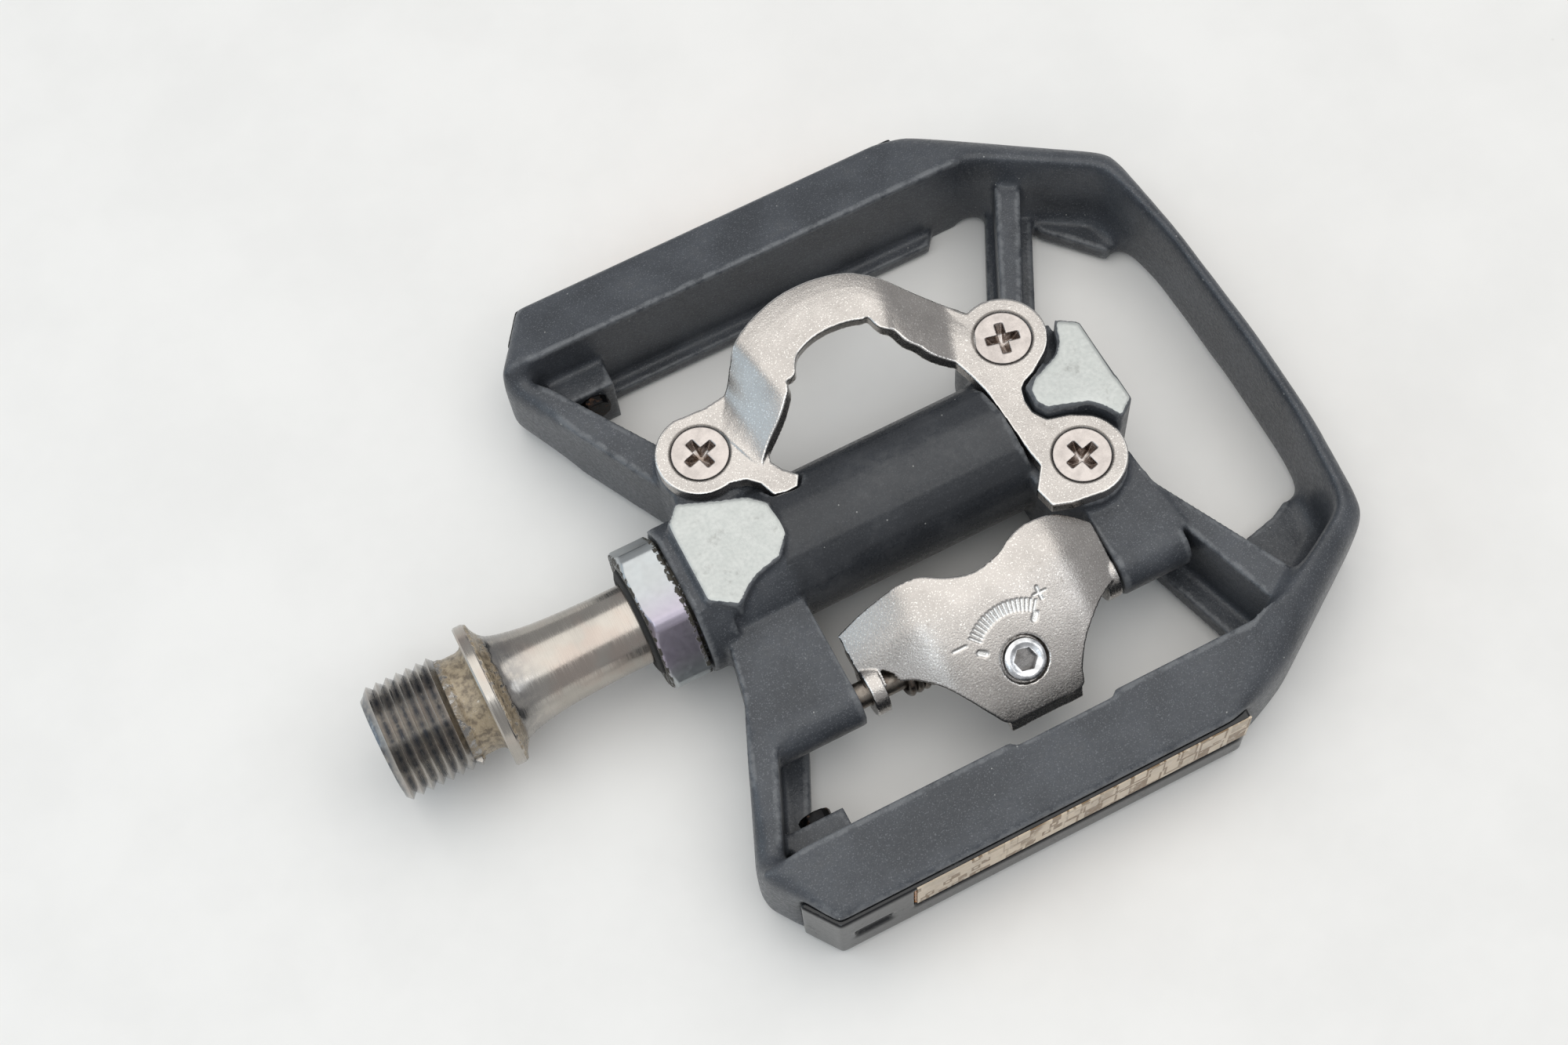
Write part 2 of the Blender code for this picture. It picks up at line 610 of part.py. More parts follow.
    # Both pads are milled flat, and the front claw lies in a pocket
    cutters.append(box("pad_mill", (PAD_EDGE_X - 0.3, -12.0, PAD_TOP_Z),
                       (OUTER_X - 18.0, 12.0, PAD_TOP_Z + 4.0)))
    cutters.append(box("rim_mill", (HOUSING_X - 1.0, -12.0, PAD_TOP_Z - RIM_DROP),
                       (PAD_EDGE_X, 12.0, PAD_TOP_Z + 4.0)))
    for outline, name in zip(plate_outline(), ("left", "right")):
        pocket = prism(f"claw_pocket_{name}", grown(outline, GAP), PLATE_BOTTOM_Z - SEAT, PAD_TOP_Z + 2.0)
        cut(pocket, [cylinder(f"wall_{name}", (HOUSING_X, 0, 0), (BORE_END_X, 0, 0), BORE_R + BORE_WALL)])
        cutters.append(pocket)
    # Room for the jaw's tail in the rear rail, as a shallow recess in its inner edge
    recess = [
        (JAW_CENTRE_X - 7.5, -RAIL_INNER_Y + 1.0), (JAW_CENTRE_X - 6.0, -RAIL_INNER_Y - 0.6),
        (JAW_CENTRE_X + 6.5, -RAIL_INNER_Y - 0.6), (JAW_CENTRE_X + 8.0, -RAIL_INNER_Y + 1.0),
    ]
    cutters.append(prism("tail_recess", recess, BOTTOM_Z - 1, RAIL_TOP_INNER_Z + 1))
    cut(body, cutters)


# ---------------------------------------------------------------- front claw and its screws
def plate_outline():
    """The front claw's flat plate: three rings round the screws, joined by a neck and two legs."""
    ring_a = arc(SCREW_A, RING_R, 100, 285, 13)
    tongue = [
        (38.6, 7.5), (39.9, 6.2), (40.6, 4.2), (43.6, 3.8), (44.4, 5.2), (43.0, 6.7), (42.2, 8.2),
        (42.8, 10.2),
    ]
    leg_a = [(41.9, 18.8), (38.4, 18.3)]
    left = ring_a + tongue + leg_a
    ring_b = arc(SCREW_B, RING_R, 115, -50, 12)
    ring_c = arc(SCREW_C, RING_R, 48, -92, 11)
    neck = [(75.2, 3.9), (72.9, 2.6), (72.6, -0.6), (73.6, -2.2), (76.2, -2.9)]
    tail = [(72.6, -13.4), (70.9, -13.2), (68.6, -12.4), (68.0, -9.8), (69.9, -7.2), (69.6, -5.0)]
    inner = [(69.0, 4.4), (68.4, 7.0), (67.6, 9.6), (69.4, 17.6)]
    right = ring_b + neck + ring_c + tail + inner
    return left, right


def arch_rows():
    """Inner and outer edges of the claw's raised arch, from its inboard leg to its outboard leg."""
    low = PLATE_TOP_Z - 0.1
    deep = PLATE_TOP_Z - 0.3
    top = ARCH_TOP_Z
    inner = [(41.0, 8.4, deep), (42.9, 10.4, low), (45.6, 11.8, 9.3), (47.6, 13.8, top - 0.3),
             (49.6, 16.0, top), (52.0, 18.0, top), (55.6, 18.6, top), (59.4, 17.8, top),
             (61.6, 15.4, top - 0.2), (64.6, 11.6, 9.0), (67.7, 9.4, low), (69.9, 7.8, deep)]
    outer = [(38.0, 16.6, deep), (41.4, 18.9, low), (43.0, 20.6, 9.2), (44.6, 22.3, top - 0.3),
             (47.6, 24.0, top), (52.0, 25.4, top), (56.4, 25.5, top), (60.6, 24.4, top),
             (63.8, 22.2, top - 0.2), (66.9, 19.6, 9.0), (69.8, 17.3, low), (72.6, 14.2, deep)]
    middle = [tuple((a + b) / 2 for a, b in zip(p, q)) for p, q in zip(inner, outer)]
    return [inner, middle, outer]


def make_front_claw():
    left, right = plate_outline()
    low, high = PLATE_BOTTOM_Z, PLATE_TOP_Z
    claw = prism("front_claw", left, low, high, NICKEL)
    arch = shell("claw_arch", arch_rows(), ARCH_THICKNESS)
    join(claw, [prism("claw_right", right, low, high), arch])
    cutters = []
    taper = (SCREW_HEAD_R - SCREW_SHANK_R) / SCREW_HEAD_HEIGHT
    over = 0.4
    for name, (x, y) in (("a", SCREW_A), ("b", SCREW_B), ("c", SCREW_C)):
        shank = SCREW_SHANK_R + SEAT
        sink = high - SCREW_HEAD_HEIGHT - 2 * SEAT
        mouth = shank + (high + over - sink) * taper
        cutters.append(cylinder(f"claw_hole_{name}", (x, y, low - 1), (x, y, high + 1), shank, 24))
        cutters.append(cylinder(f"claw_sink_{name}", (x, y, sink), (x, y, high + over), shank, 24, mouth))
    cutters.append(cylinder("claw_clear", (HOUSING_X, 0, 0), (BORE_END_X, 0, 0),
                            BORE_R + BORE_WALL + 2 * SEAT))
    cut(claw, cutters)
    for index, (x, y) in enumerate((SCREW_A, SCREW_B, SCREW_C), 1):
        make_claw_screw(index, x, y)


def make_claw_screw(index, x, y):
    """A countersunk screw with a cross recess, its head flush with the claw."""
    name = f"claw_screw_{index}"
    top = PLATE_TOP_Z - SEAT
    tip = PLATE_TOP_Z - SCREW_LENGTH
    shank = SCREW_SHANK_R - SEAT
    screw = cylinder(name, (x, y, tip), (x, y, top - 0.2), shank, 24, finish=NICKEL)
    head = cylinder(f"{name}_head", (x, y, top - SCREW_HEAD_HEIGHT), (x, y, top), shank, 24,
                    SCREW_HEAD_R - SEAT)
    join(screw, [head])
    slots = []
    for length, width in ((1.75, 0.45), (0.45, 1.75)):
        low = (x - length, y - width, top - SCREW_SLOT_DEPTH)
        slots.append(box(f"{name}_slot_{length}", low, (x + length, y + width, top + 1)))
    cut(screw, slots)


# ---------------------------------------------------------------- rear jaw
def jaw_top(x, y):
    """Height of the claw's upper face: level at the lip, then sloping, and falling off at both flanks."""
    z = JAW_TOP_Z
    if y < JAW_BEND_Y:
        z -= (JAW_BEND_Y - y) * math.tan(JAW_SLOPE)
    left = JAW_LEFT_X + FLANK_WIDTH[0]
    right = JAW_RIGHT_X - FLANK_WIDTH[1]
    if x < left:
        z -= (left - x) * FLANK_FALL
    if x > right:
        z -= (x - right) * FLANK_FALL
    return z


def jaw_rows():
    """Front edge, bend line, mid line and rear edge of the claw's upper face."""
    front = [(41.2, -14.2), (44.6, -13.2), (47.6, -12.8), (51.3, -13.3), (55.5, -15.0), (58.5, -15.0),
             (61.0, -14.2), (63.9, -12.6), (68.0, -12.6), (72.2, -14.4)]
    rear = [(41.2, -20.6), (45.0, -22.2), (49.8, -25.2), (51.8, -28.4), (53.4, -31.0), (57.6, -31.0),
            (62.0, -31.0), (63.4, -28.8), (66.4, -25.6), (72.2, -20.6)]
    rows = []
    for step in range(5):
        share = step / 4
        row = []
        for (x0, y0), (x1, y1) in zip(front, rear):
            x = x0 + (x1 - x0) * share
            y = y0 + (y1 - y0) * share
            row.append((x, y, jaw_top(x, y)))
        rows.append(row)
    lip = [(x, y - 0.4, z - 2.0) for x, y, z in rows[-1][4:7]]
    return rows, lip


def bolt_axis():
    """Unit vector out of the claw's sloping face, along the tension bolt."""
    return Vector((0.0, -math.sin(JAW_SLOPE), math.cos(JAW_SLOPE)))


def bolt_seat():
    """The point on the sloping face where the bolt's head sits."""
    return Vector((JAW_CENTRE_X + 0.4, BOLT_Y, jaw_top(JAW_CENTRE_X, BOLT_Y)))


def make_rear_claw():
    rows, lip = jaw_rows()
    claw = shell("rear_claw", rows, JAW_THICKNESS, NICKEL)
    tail = shell("claw_tail", [rows[-1][4:7], lip], JAW_THICKNESS * 0.8)
    solids = [tail]
    for name, x in (("left", JAW_LEFT_X), ("right", JAW_RIGHT_X - EAR_THICKNESS)):
        solids.append(cylinder(f"ear_{name}", (x, PIN_Y, PIN_Z), (x + EAR_THICKNESS, PIN_Y, PIN_Z),
                               EAR_R, 24))
        neck = box(f"ear_neck_{name}", (x, PIN_Y + 0.6, PIN_Z), (x + EAR_THICKNESS, PIN_Y + 5.6, 2.4))
        solids.append(neck)
    join(claw, solids)
    axis = bolt_axis()
    seat = bolt_seat()
    clear = BOLT_R + 0.15
    cutters = [
        cylinder("jaw_pin_hole", (JAW_LEFT_X - 1, PIN_Y, PIN_Z), (JAW_RIGHT_X + 1, PIN_Y, PIN_Z),
                 PIN_R + FIT, 24),
        cylinder("jaw_spring_room", (JAW_LEFT_X + EAR_THICKNESS, PIN_Y, PIN_Z),
                 (JAW_RIGHT_X - EAR_THICKNESS, PIN_Y, PIN_Z), SPRING_R + SPRING_WIRE_R + GAP, 24),
        cylinder("bolt_hole", seat - axis * 4, seat + axis * 2, clear, 24),
        cylinder("bolt_sink", seat - axis * (BOLT_HEAD_HEIGHT * BOLT_SINK), seat + axis * 3,
                 BOLT_HEAD_R + GAP, 24),
    ]
    cut(claw, cutters)


def make_tension_parts():
    axis = bolt_axis()
    seat = bolt_seat() - axis * (BOLT_HEAD_HEIGHT * BOLT_SINK - SEAT)
    bolt = cylinder("tension_bolt", seat - axis * BOLT_LENGTH, seat + axis * 0.2, BOLT_R, 24,
                    finish=DARK_STEEL)
    join(bolt, [cylinder("bolt_head", seat, seat + axis * BOLT_HEAD_HEIGHT, BOLT_HEAD_R, 24)])
    top = seat + axis * BOLT_HEAD_HEIGHT
    cut(bolt, [cylinder("bolt_socket", top - axis * BOLT_SOCKET_DEPTH, top + axis * 0.5,
                        hexagon_r(BOLT_SOCKET_AF), 6)])
    long, wide, thick = TENSION_PLATE
    plate = box("tension_plate", (-long / 2, -wide / 2, -thick), (long / 2, wide / 2, 0.0), DARK_STEEL)
    plate.rotation_euler = (JAW_SLOPE, 0.0, 0.0)
    plate.location = (bolt_seat() - axis * TENSION_PLATE_DROP) * MM
    hole_top = bolt_seat() - axis * (TENSION_PLATE_DROP - 2.0)
    cut(plate, [cylinder("plate_hole", hole_top - axis * 6.0, hole_top, BOLT_R + FIT, 24)])


def make_pin_and_springs():
    cylinder("pivot_pin", (PIN_START_X, PIN_Y, PIN_Z), (PIN_END_X, PIN_Y, PIN_Z), PIN_R, 24,
             finish=POLISHED_STEEL)
    first = JAW_LEFT_X + EAR_THICKNESS + 1.0
    last = JAW_RIGHT_X - EAR_THICKNESS - 1.0
    length = SPRING_TURNS * SPRING_WIRE_R * 2.5
    make_spring("left_spring", first, first + length)
    make_spring("right_spring", last, last - length)


def make_spring(name, start, end):
    """A torsion spring: a close coil round the pin, with a straight leg forward under the barrel."""
    steps = 14
    curve = bpy.data.curves.new(name, "CURVE")
    curve.dimensions = "3D"
    curve.bevel_depth = SPRING_WIRE_R * MM
    curve.bevel_resolution = 1
    curve.use_fill_caps = True
    points = []
    total = SPRING_TURNS * steps
    inset = SPRING_WIRE_R * math.copysign(1.0, end - start)
    for i in range(total + 1):
        angle = 2 * math.pi * i / steps - math.pi / 2
        x = start + inset + (end - start - 2 * inset) * i / total
        points.append((x, PIN_Y + SPRING_R * math.cos(angle), PIN_Z + SPRING_R * math.sin(angle)))
    leg_x, leg_y, leg_z = points[-1]
    points.append((leg_x, leg_y + 4.5, leg_z))
    spline = curve.splines.new("POLY")
    spline.points.add(len(points) - 1)
    for target, point in zip(spline.points, points):
        target.co = (*(Vector(point) * MM), 1.0)
    obj = bpy.data.objects.new(name, curve)
    CUTTERS.objects.link(obj)
    mesh = evaluated_mesh(obj)
    bpy.data.objects.remove(obj)
    bpy.data.curves.remove(curve)
    add_object(name, mesh, DARK_STEEL)


# ---------------------------------------------------------------- spindle and bearings
def race_arc(row_x, start, end):
    """Profile points of a ball groove round the row, its angles in degrees from +X."""
    return [(x, r) for x, r in arc((row_x, BALL_PITCH_R), BALL_R + FIT, start, end, 5)]


def make_spindle():
    neck = [(FLANGE_WIDTH + 0.9, 7.1), (3.4, 6.3), (5.6, 5.8), (8.5, 5.4), (12.5, 5.15)]
    profile = [
        (SPINDLE_END_X, 0.0), (SPINDLE_END_X, TAIL_THREAD_R - 0.4),
        (SPINDLE_END_X - 0.6, TAIL_THREAD_R), (OUTER_ROW_X + 1.2, TAIL_THREAD_R),
        (OUTER_ROW_X + 1.1, TAIL_R - FIT), (INNER_ROW_X, TAIL_R - FIT),
    ]
    profile += list(reversed(race_arc(INNER_ROW_X, 190, 258)))[1:]
    profile += [
        (INNER_ROW_X - BALL_R - FIT - 0.1, JOURNAL_R), (SLEEVE_X - 0.4, JOURNAL_R),
        (SLEEVE_X - 0.9, SPINDLE_R), (16.0, SPINDLE_R),
    ]
    profile += list(reversed(neck))
    profile += [
        (FLANGE_WIDTH, FLANGE_R - 0.2), (FLANGE_WIDTH - 0.2, FLANGE_R), (0.2, FLANGE_R),
        (0.0, FLANGE_R - 0.2), (0.0, 6.4), (0.3 - THREAD_RELIEF, 6.2), (-THREAD_RELIEF, THREAD_R),
        (1.1 - THREAD_LENGTH, THREAD_R), (-THREAD_LENGTH, 6.1), (-THREAD_LENGTH, 0.0),
    ]
    spindle = turned("spindle", profile, POLISHED_STEEL)
    cut(spindle, [cylinder("key_socket", (-THREAD_LENGTH - 1, 0, 0), (KEY_DEPTH - THREAD_LENGTH, 0, 0),
                           hexagon_r(KEY_AF), 6)])


def make_bearings():
    groove = BALL_R + FIT
    bore = BALL_PITCH_R + groove
    inner_bore = BALL_PITCH_R + 0.25
    outer = BORE_R - SEAT
    profile = [(SLEEVE_END_X, outer), (SLEEVE_X, outer), (SLEEVE_X, bore), (INNER_ROW_X, bore)]
    profile += race_arc(INNER_ROW_X, 90, 15)[1:]
    profile += [(INNER_ROW_X + groove + 0.3, inner_bore), (OUTER_ROW_X - groove - 0.3, inner_bore)]
    profile += race_arc(OUTER_ROW_X, 165, 90)[:-1]
    profile += [(OUTER_ROW_X, bore), (SLEEVE_END_X, bore)]
    turned("bearing_sleeve", profile, BEARING_STEEL, closed_ring=True)

    start, stop = SLEEVE_X + 0.3, SLEEVE_X + 8.3
    ring = [(stop, bore - SEAT), (start, bore - SEAT), (start, JOURNAL_R + FIT), (stop, JOURNAL_R + FIT)]
    turned("inboard_bushing", ring, BUSHING_RESIN, closed_ring=True)

    rim = BALL_PITCH_R + 0.45
    profile = [(CONE_END_X, rim), (CONE_X + 0.6, rim), (CONE_X, rim - 0.25), (CONE_X - 0.2, rim - 0.85),
               (CONE_X - CONE_FACE, TAIL_THREAD_R + FIT), (CONE_END_X, TAIL_THREAD_R + FIT)]
    turned("cone", profile, BEARING_STEEL, closed_ring=True)

    nut = cylinder("cone_locknut", (LOCKNUT_X, 0, 0), (LOCKNUT_X + LOCKNUT_WIDTH, 0, 0),
                   hexagon_r(LOCKNUT_AF), 6, finish=DARK_STEEL)
    cut(nut, [cylinder("locknut_bore", (LOCKNUT_X - 1, 0, 0), (LOCKNUT_X + LOCKNUT_WIDTH + 1, 0, 0),
                       TAIL_THREAD_R + FIT)])

    for row, row_x in (("inner", INNER_ROW_X), ("outer", OUTER_ROW_X)):
        for index in range(BALL_COUNT):
            make_ball(f"{row}_ball_{index + 1:02d}", row_x, 2 * math.pi * index / BALL_COUNT)


def make_ball(name, x, angle):
    work = bmesh.new()
    bmesh.ops.create_icosphere(work, subdivisions=2, radius=BALL_R * MM)
    mesh = bpy.data.meshes.new(name)
    work.to_mesh(mesh)
    work.free()
    mesh.shade_smooth()
    place = (x, BALL_PITCH_R * math.sin(angle), BALL_PITCH_R * math.cos(angle))
    add_object(name, mesh, BEARING_STEEL, place)


def make_collar():
    """The lock collar that screws into the barrel, and the lip seal inside it."""
    end = COLLAR_X + COLLAR_WIDTH
    collar = cylinder("lock_collar", (COLLAR_X, 0, 0), (end, 0, 0), hexagon_r(COLLAR_AF), 6,
                      finish=BARE_ALLOY)
    rounding = turned("collar_rounding", [
        (end + 1, 0.0), (end + 1, COLLAR_CORNER_R), (COLLAR_X + 0.5, COLLAR_CORNER_R),
        (COLLAR_X - 0.1, COLLAR_CORNER_R - 0.9), (COLLAR_X - 0.1, 0.0),
    ])
    combine(collar, [rounding], "INTERSECT", "rounded")
    neck = cylinder("collar_neck", (end - 1, 0, 0), (end + COLLAR_NECK, 0, 0), NECK_BORE_R - FIT)
    join(collar, [neck])
    bore = cylinder("collar_bore", (COLLAR_X - 1, 0, 0), (end + COLLAR_NECK + 1, 0, 0),
                    SPINDLE_R + COLLAR_CLEAR)
    pocket = cylinder("seal_pocket", (COLLAR_X - 1, 0, 0), (COLLAR_X + SEAL_WIDTH, 0, 0),
                      SPINDLE_R + SEAL_WALL + 2 * SEAT)
    cut(collar, [bore, pocket])
    ring = [(COLLAR_X + SEAL_WIDTH - SEAT, SPINDLE_R + SEAL_WALL), (COLLAR_X - 0.3, SPINDLE_R + SEAL_WALL),
            (COLLAR_X - 0.6, SPINDLE_R + SEAL_WALL / 2), (COLLAR_X - 0.3, SPINDLE_R + FIT),
            (COLLAR_X + SEAL_WIDTH - SEAT, SPINDLE_R + FIT)]
    turned("lip_seal", ring, SEAL_RUBBER, closed_ring=True)


# ---------------------------------------------------------------- reflectors and label
def make_reflector(side, name):
    carrier = prism(f"{name}_reflector_carrier", carrier_outline(side, 0.0), CARRIER_BOTTOM_Z,
                    CARRIER_TOP_Z, CARRIER_PLASTIC)
    outer = HALF_DEPTH + CARRIER_PROUD
    back = outer - LENS_DEPTH
    window = [(LENS_X - SEAT, back - SEAT), (LENS_END_X + SEAT, back - SEAT),
              (LENS_END_X + SEAT, outer + 1), (LENS_X - SEAT, outer + 1)]
    cutters = [prism(f"{name}_window", mirrored(window, side), LENS_BOTTOM_Z - SEAT, LENS_TOP_Z + SEAT)]
    # Shallow slot over the screw, near the wrapped end
    y = sorted((side * (outer - 0.6), side * (outer + 1.0)))
    cutters.append(box(f"{name}_slot", (26.0, y[0], -5.3), (30.6, y[1], -3.1)))
    for index, x in enumerate(REFLECTOR_SCREWS_X):
        start, stop = screw_line(side, x)
        cutters.append(cylinder(f"{name}_thread_{index}", start, (x, stop[1] - side * 0.4, stop[2]),
                                REFLECTOR_SCREW_R + SEAT, 12))
    cut(carrier, cutters)
    lens = [(LENS_X, back), (LENS_END_X, back), (LENS_END_X, outer - LABEL_THICKNESS - SEAT),
            (LENS_X, outer - LABEL_THICKNESS - SEAT)]
    prism(f"{name}_reflector", mirrored(lens, side), LENS_BOTTOM_Z, LENS_TOP_Z, AMBER_LENS)
    for index, x in enumerate(REFLECTOR_SCREWS_X):
        start, stop = screw_line(side, x)
        screw = cylinder(f"{name}_reflector_screw", start, (x, stop[1] - side * 0.8, stop[2]),
                         REFLECTOR_SCREW_R - SEAT, 12, finish=DARK_STEEL)
        head = cylinder(f"{name}_head_{index}", (x, start[1] - side * 1.3, start[2]),
                        (x, start[1] - side * SEAT, start[2]), REFLECTOR_SCREW_R + 0.8, 12)
        shank_root = cylinder(f"{name}_root_{index}", (x, start[1] - side * 1.0, start[2]),
                              (x, start[1] + side * 1.0, start[2]), REFLECTOR_SCREW_R - SEAT, 12)
        join(screw, [head, shank_root])


def make_label():
    outer = HALF_DEPTH + CARRIER_PROUD
    strip = [(LENS_X + 0.2, -outer + LABEL_THICKNESS), (LENS_X + 0.2, -outer),
             (LENS_END_X - 0.2, -outer), (LENS_END_X - 0.2, -outer + LABEL_THICKNESS)]
    prism("label_strip", strip, LENS_BOTTOM_Z + 0.1, LENS_TOP_Z - 0.1, LABEL_PAPER)


make_body()
make_front_claw()
make_rear_claw()
make_tension_parts()
make_pin_and_springs()
make_spindle()
make_collar()
make_bearings()
make_reflector(1, "front")
make_reflector(-1, "rear")
make_label()
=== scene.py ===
"""Looks of a clipless pedal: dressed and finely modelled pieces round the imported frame.

Lengths of the pieces are in millimetres in the pedal's own frame: x runs outboard from the crank's
face, y to the toe, z to the cleat side, with the axle along x. `place` turns them into the row's metres.
"""

import json
import logging
import math
from collections.abc import Callable, Iterable, Sequence
from dataclasses import dataclass, field
from enum import Enum

import bmesh
import bpy
import numpy as np
from mathutils import Matrix, Vector
from mathutils.geometry import convex_hull_2d


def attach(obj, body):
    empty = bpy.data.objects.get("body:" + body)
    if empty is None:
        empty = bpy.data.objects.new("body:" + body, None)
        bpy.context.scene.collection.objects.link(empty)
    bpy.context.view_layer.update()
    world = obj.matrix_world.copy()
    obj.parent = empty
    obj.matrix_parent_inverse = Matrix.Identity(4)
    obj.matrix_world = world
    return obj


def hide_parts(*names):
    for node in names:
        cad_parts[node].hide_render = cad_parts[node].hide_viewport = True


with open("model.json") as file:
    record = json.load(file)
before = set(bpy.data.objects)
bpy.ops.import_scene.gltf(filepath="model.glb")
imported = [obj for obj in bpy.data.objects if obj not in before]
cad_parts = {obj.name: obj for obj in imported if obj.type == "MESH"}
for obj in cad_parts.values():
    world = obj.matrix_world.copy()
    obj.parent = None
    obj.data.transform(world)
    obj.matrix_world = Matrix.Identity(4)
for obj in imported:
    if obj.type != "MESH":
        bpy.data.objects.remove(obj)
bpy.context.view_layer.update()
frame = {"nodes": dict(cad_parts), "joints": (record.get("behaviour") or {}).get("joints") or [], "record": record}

log = logging.getLogger("pedal")

MM = 0.001
MERGE = 1e-6

Point = tuple[float, float, float]
Flat = tuple[float, float]
Colour = tuple[float, float, float]


def origin_of_pedal() -> Vector:
    """Find the crank's face on the axle in the row frame.

    Returns:
        The point where the pedal's own x, y and z are all 0, in metres.
    """
    record = frame["record"]
    seat = next(mount for mount in record["mounts"] if mount["name"] == "crank_seat")
    spin = next(joint for joint in frame["joints"] if joint["name"] == "spindle_spin")
    return Vector((seat["pos_m"][0], spin["pos_m"][1], spin["pos_m"][2]))


ORIGIN = origin_of_pedal()


def place(point: Sequence[float]) -> Vector:
    """Turn a point of the pedal's own frame, in millimetres, into the row's metres."""
    return ORIGIN + Vector(point) * MM


def smoothstep(low: float, high: float, value: np.ndarray) -> np.ndarray:
    """Rise smoothly from 0 at low to 1 at high.

    Args:
        low: Value where the rise starts.
        high: Value where it ends.
        value: The numbers to map.

    Returns:
        The mapped numbers, from 0 to 1.
    """
    share = np.clip((value - low) / (high - low), 0.0, 1.0)
    return share * share * (3.0 - 2.0 * share)


def through(points: Sequence[Sequence[float]], count: int) -> np.ndarray:
    """Run a smooth curve through a few points.

    Args:
        points: The points that the curve passes.
        count: How many samples to return, evenly spread between the points.

    Returns:
        The samples, one row each.
    """
    knots = np.array(points, float)
    knots = np.vstack([2 * knots[0] - knots[1], knots, 2 * knots[-1] - knots[-2]])
    spots = np.linspace(0.0, len(points) - 1 - 1e-9, count)
    first = spots.astype(int)
    t = (spots - first)[:, None]
    a, b, c, d = (knots[first + step] for step in range(4))
    return 0.5 * (2 * b + (c - a) * t + (2 * a - 5 * b + 4 * c - d) * t**2 + (3 * b - a - 3 * c + d) * t**3)


def arc(centre: Flat, radius: float, start: float, end: float, count: int) -> list[Flat]:
    """Sample an arc.

    Args:
        centre: Its centre.
        radius: Its radius.
        start: First angle, in degrees.
        end: Last angle, in degrees.
        count: How many points to return.

    Returns:
        The points along the arc.
    """
    angles = np.radians(np.linspace(start, end, count))
    return [(centre[0] + radius * math.cos(a), centre[1] + radius * math.sin(a)) for a in angles]


# ---------------------------------------------------------------- mesh tools
def link(name: str, data: bpy.types.ID) -> bpy.types.Object:
    """Put a mesh, a light or a camera into the scene as an object at the origin.

    Args:
        name: Name of the object.
        data: Its mesh, light or camera.

    Returns:
        The new object.
    """
    made = bpy.data.objects.new(name, data)
    bpy.context.scene.collection.objects.link(made)
    return made


def weld(mesh: bpy.types.Mesh, outward: bool = False) -> None:
    """Merge a mesh's double corners.

    Args:
        mesh: The mesh that is changed.
        outward: Whether its faces are made to point outwards too.
    """
    work = bmesh.new()
    work.from_mesh(mesh)
    bmesh.ops.remove_doubles(work, verts=work.verts, dist=MERGE)
    if outward:
        bmesh.ops.recalc_face_normals(work, faces=work.faces)
    work.to_mesh(mesh)
    work.free()


def from_faces(name: str, points: Iterable[Sequence[float]],
               faces: Iterable[Sequence[int]]) -> bpy.types.Object:
    """Build an object from points of the pedal's frame, with its faces made to point outwards.

    Args:
        name: Name of the object.
        points: Corners, in millimetres.
        faces: Corner numbers of each face.

    Returns:
        The new object.
    """
    mesh = bpy.data.meshes.new(name)
    mesh.from_pydata([place(point) for point in points], [], [tuple(face) for face in faces])
    weld(mesh, outward=True)
    return link(name, mesh)


def skin(name: str, rings: Sequence[Sequence[Sequence[float]]], closed: bool = False) -> bpy.types.Object:
    """Loft closed rings into a solid.

    Args:
        name: Name of the object.
        rings: Rings of points, all with the same count.
        closed: Whether the last ring joins the first instead of both being capped.

    Returns:
        The new object.
    """
    count = len(rings[0])
    points = [point for ring in rings for point in ring]
    faces: list[tuple[int, ...]] = []
    spans = len(rings) if closed else len(rings) - 1
    for row in range(spans):
        near, far = row * count, (row + 1) % len(rings) * count
        for i in range(count):
            j = (i + 1) % count
            faces.append((near + i, near + j, far + j, far + i))
    if not closed:
        faces.append(tuple(range(count)))
        last = (len(rings) - 1) * count
        faces.append(tuple(last + i for i in reversed(range(count))))
    return from_faces(name, points, faces)


def slab(name: str, top: Sequence[np.ndarray], under: Sequence[np.ndarray]) -> bpy.types.Object:
    """Close two grids of points, one over the other, into a solid.

    Args:
        name: Name of the object.
        top: Rows of the upper face.
        under: Rows of the lower face, matching the upper ones.

    Returns:
        The new object.
    """
    rows, columns = len(top), len(top[0])
    count = rows * columns
    faces: list[tuple[int, ...]] = []
    for row in range(rows - 1):
        for column in range(columns - 1):
            a = row * columns + column
            quad = (a, a + 1, a + columns + 1, a + columns)
            faces += [quad, tuple(count + corner for corner in reversed(quad))]
    rim = list(range(columns)) + [row * columns + columns - 1 for row in range(1, rows)]
    rim += list(reversed(range((rows - 1) * columns, count - 1)))
    rim += [row * columns for row in reversed(range(1, rows - 1))]
    faces += [(b, a, count + a, count + b) for a, b in zip(rim, rim[1:] + rim[:1])]
    return from_faces(name, np.vstack([*top, *under]), faces)


def prism(name: str, outline: Sequence[Flat], low: float, high: float) -> bpy.types.Object:
    """Extrude an outline of (x, y) points from one height to another."""
    return skin(name, [[(x, y, low) for x, y in outline], [(x, y, high) for x, y in outline]])


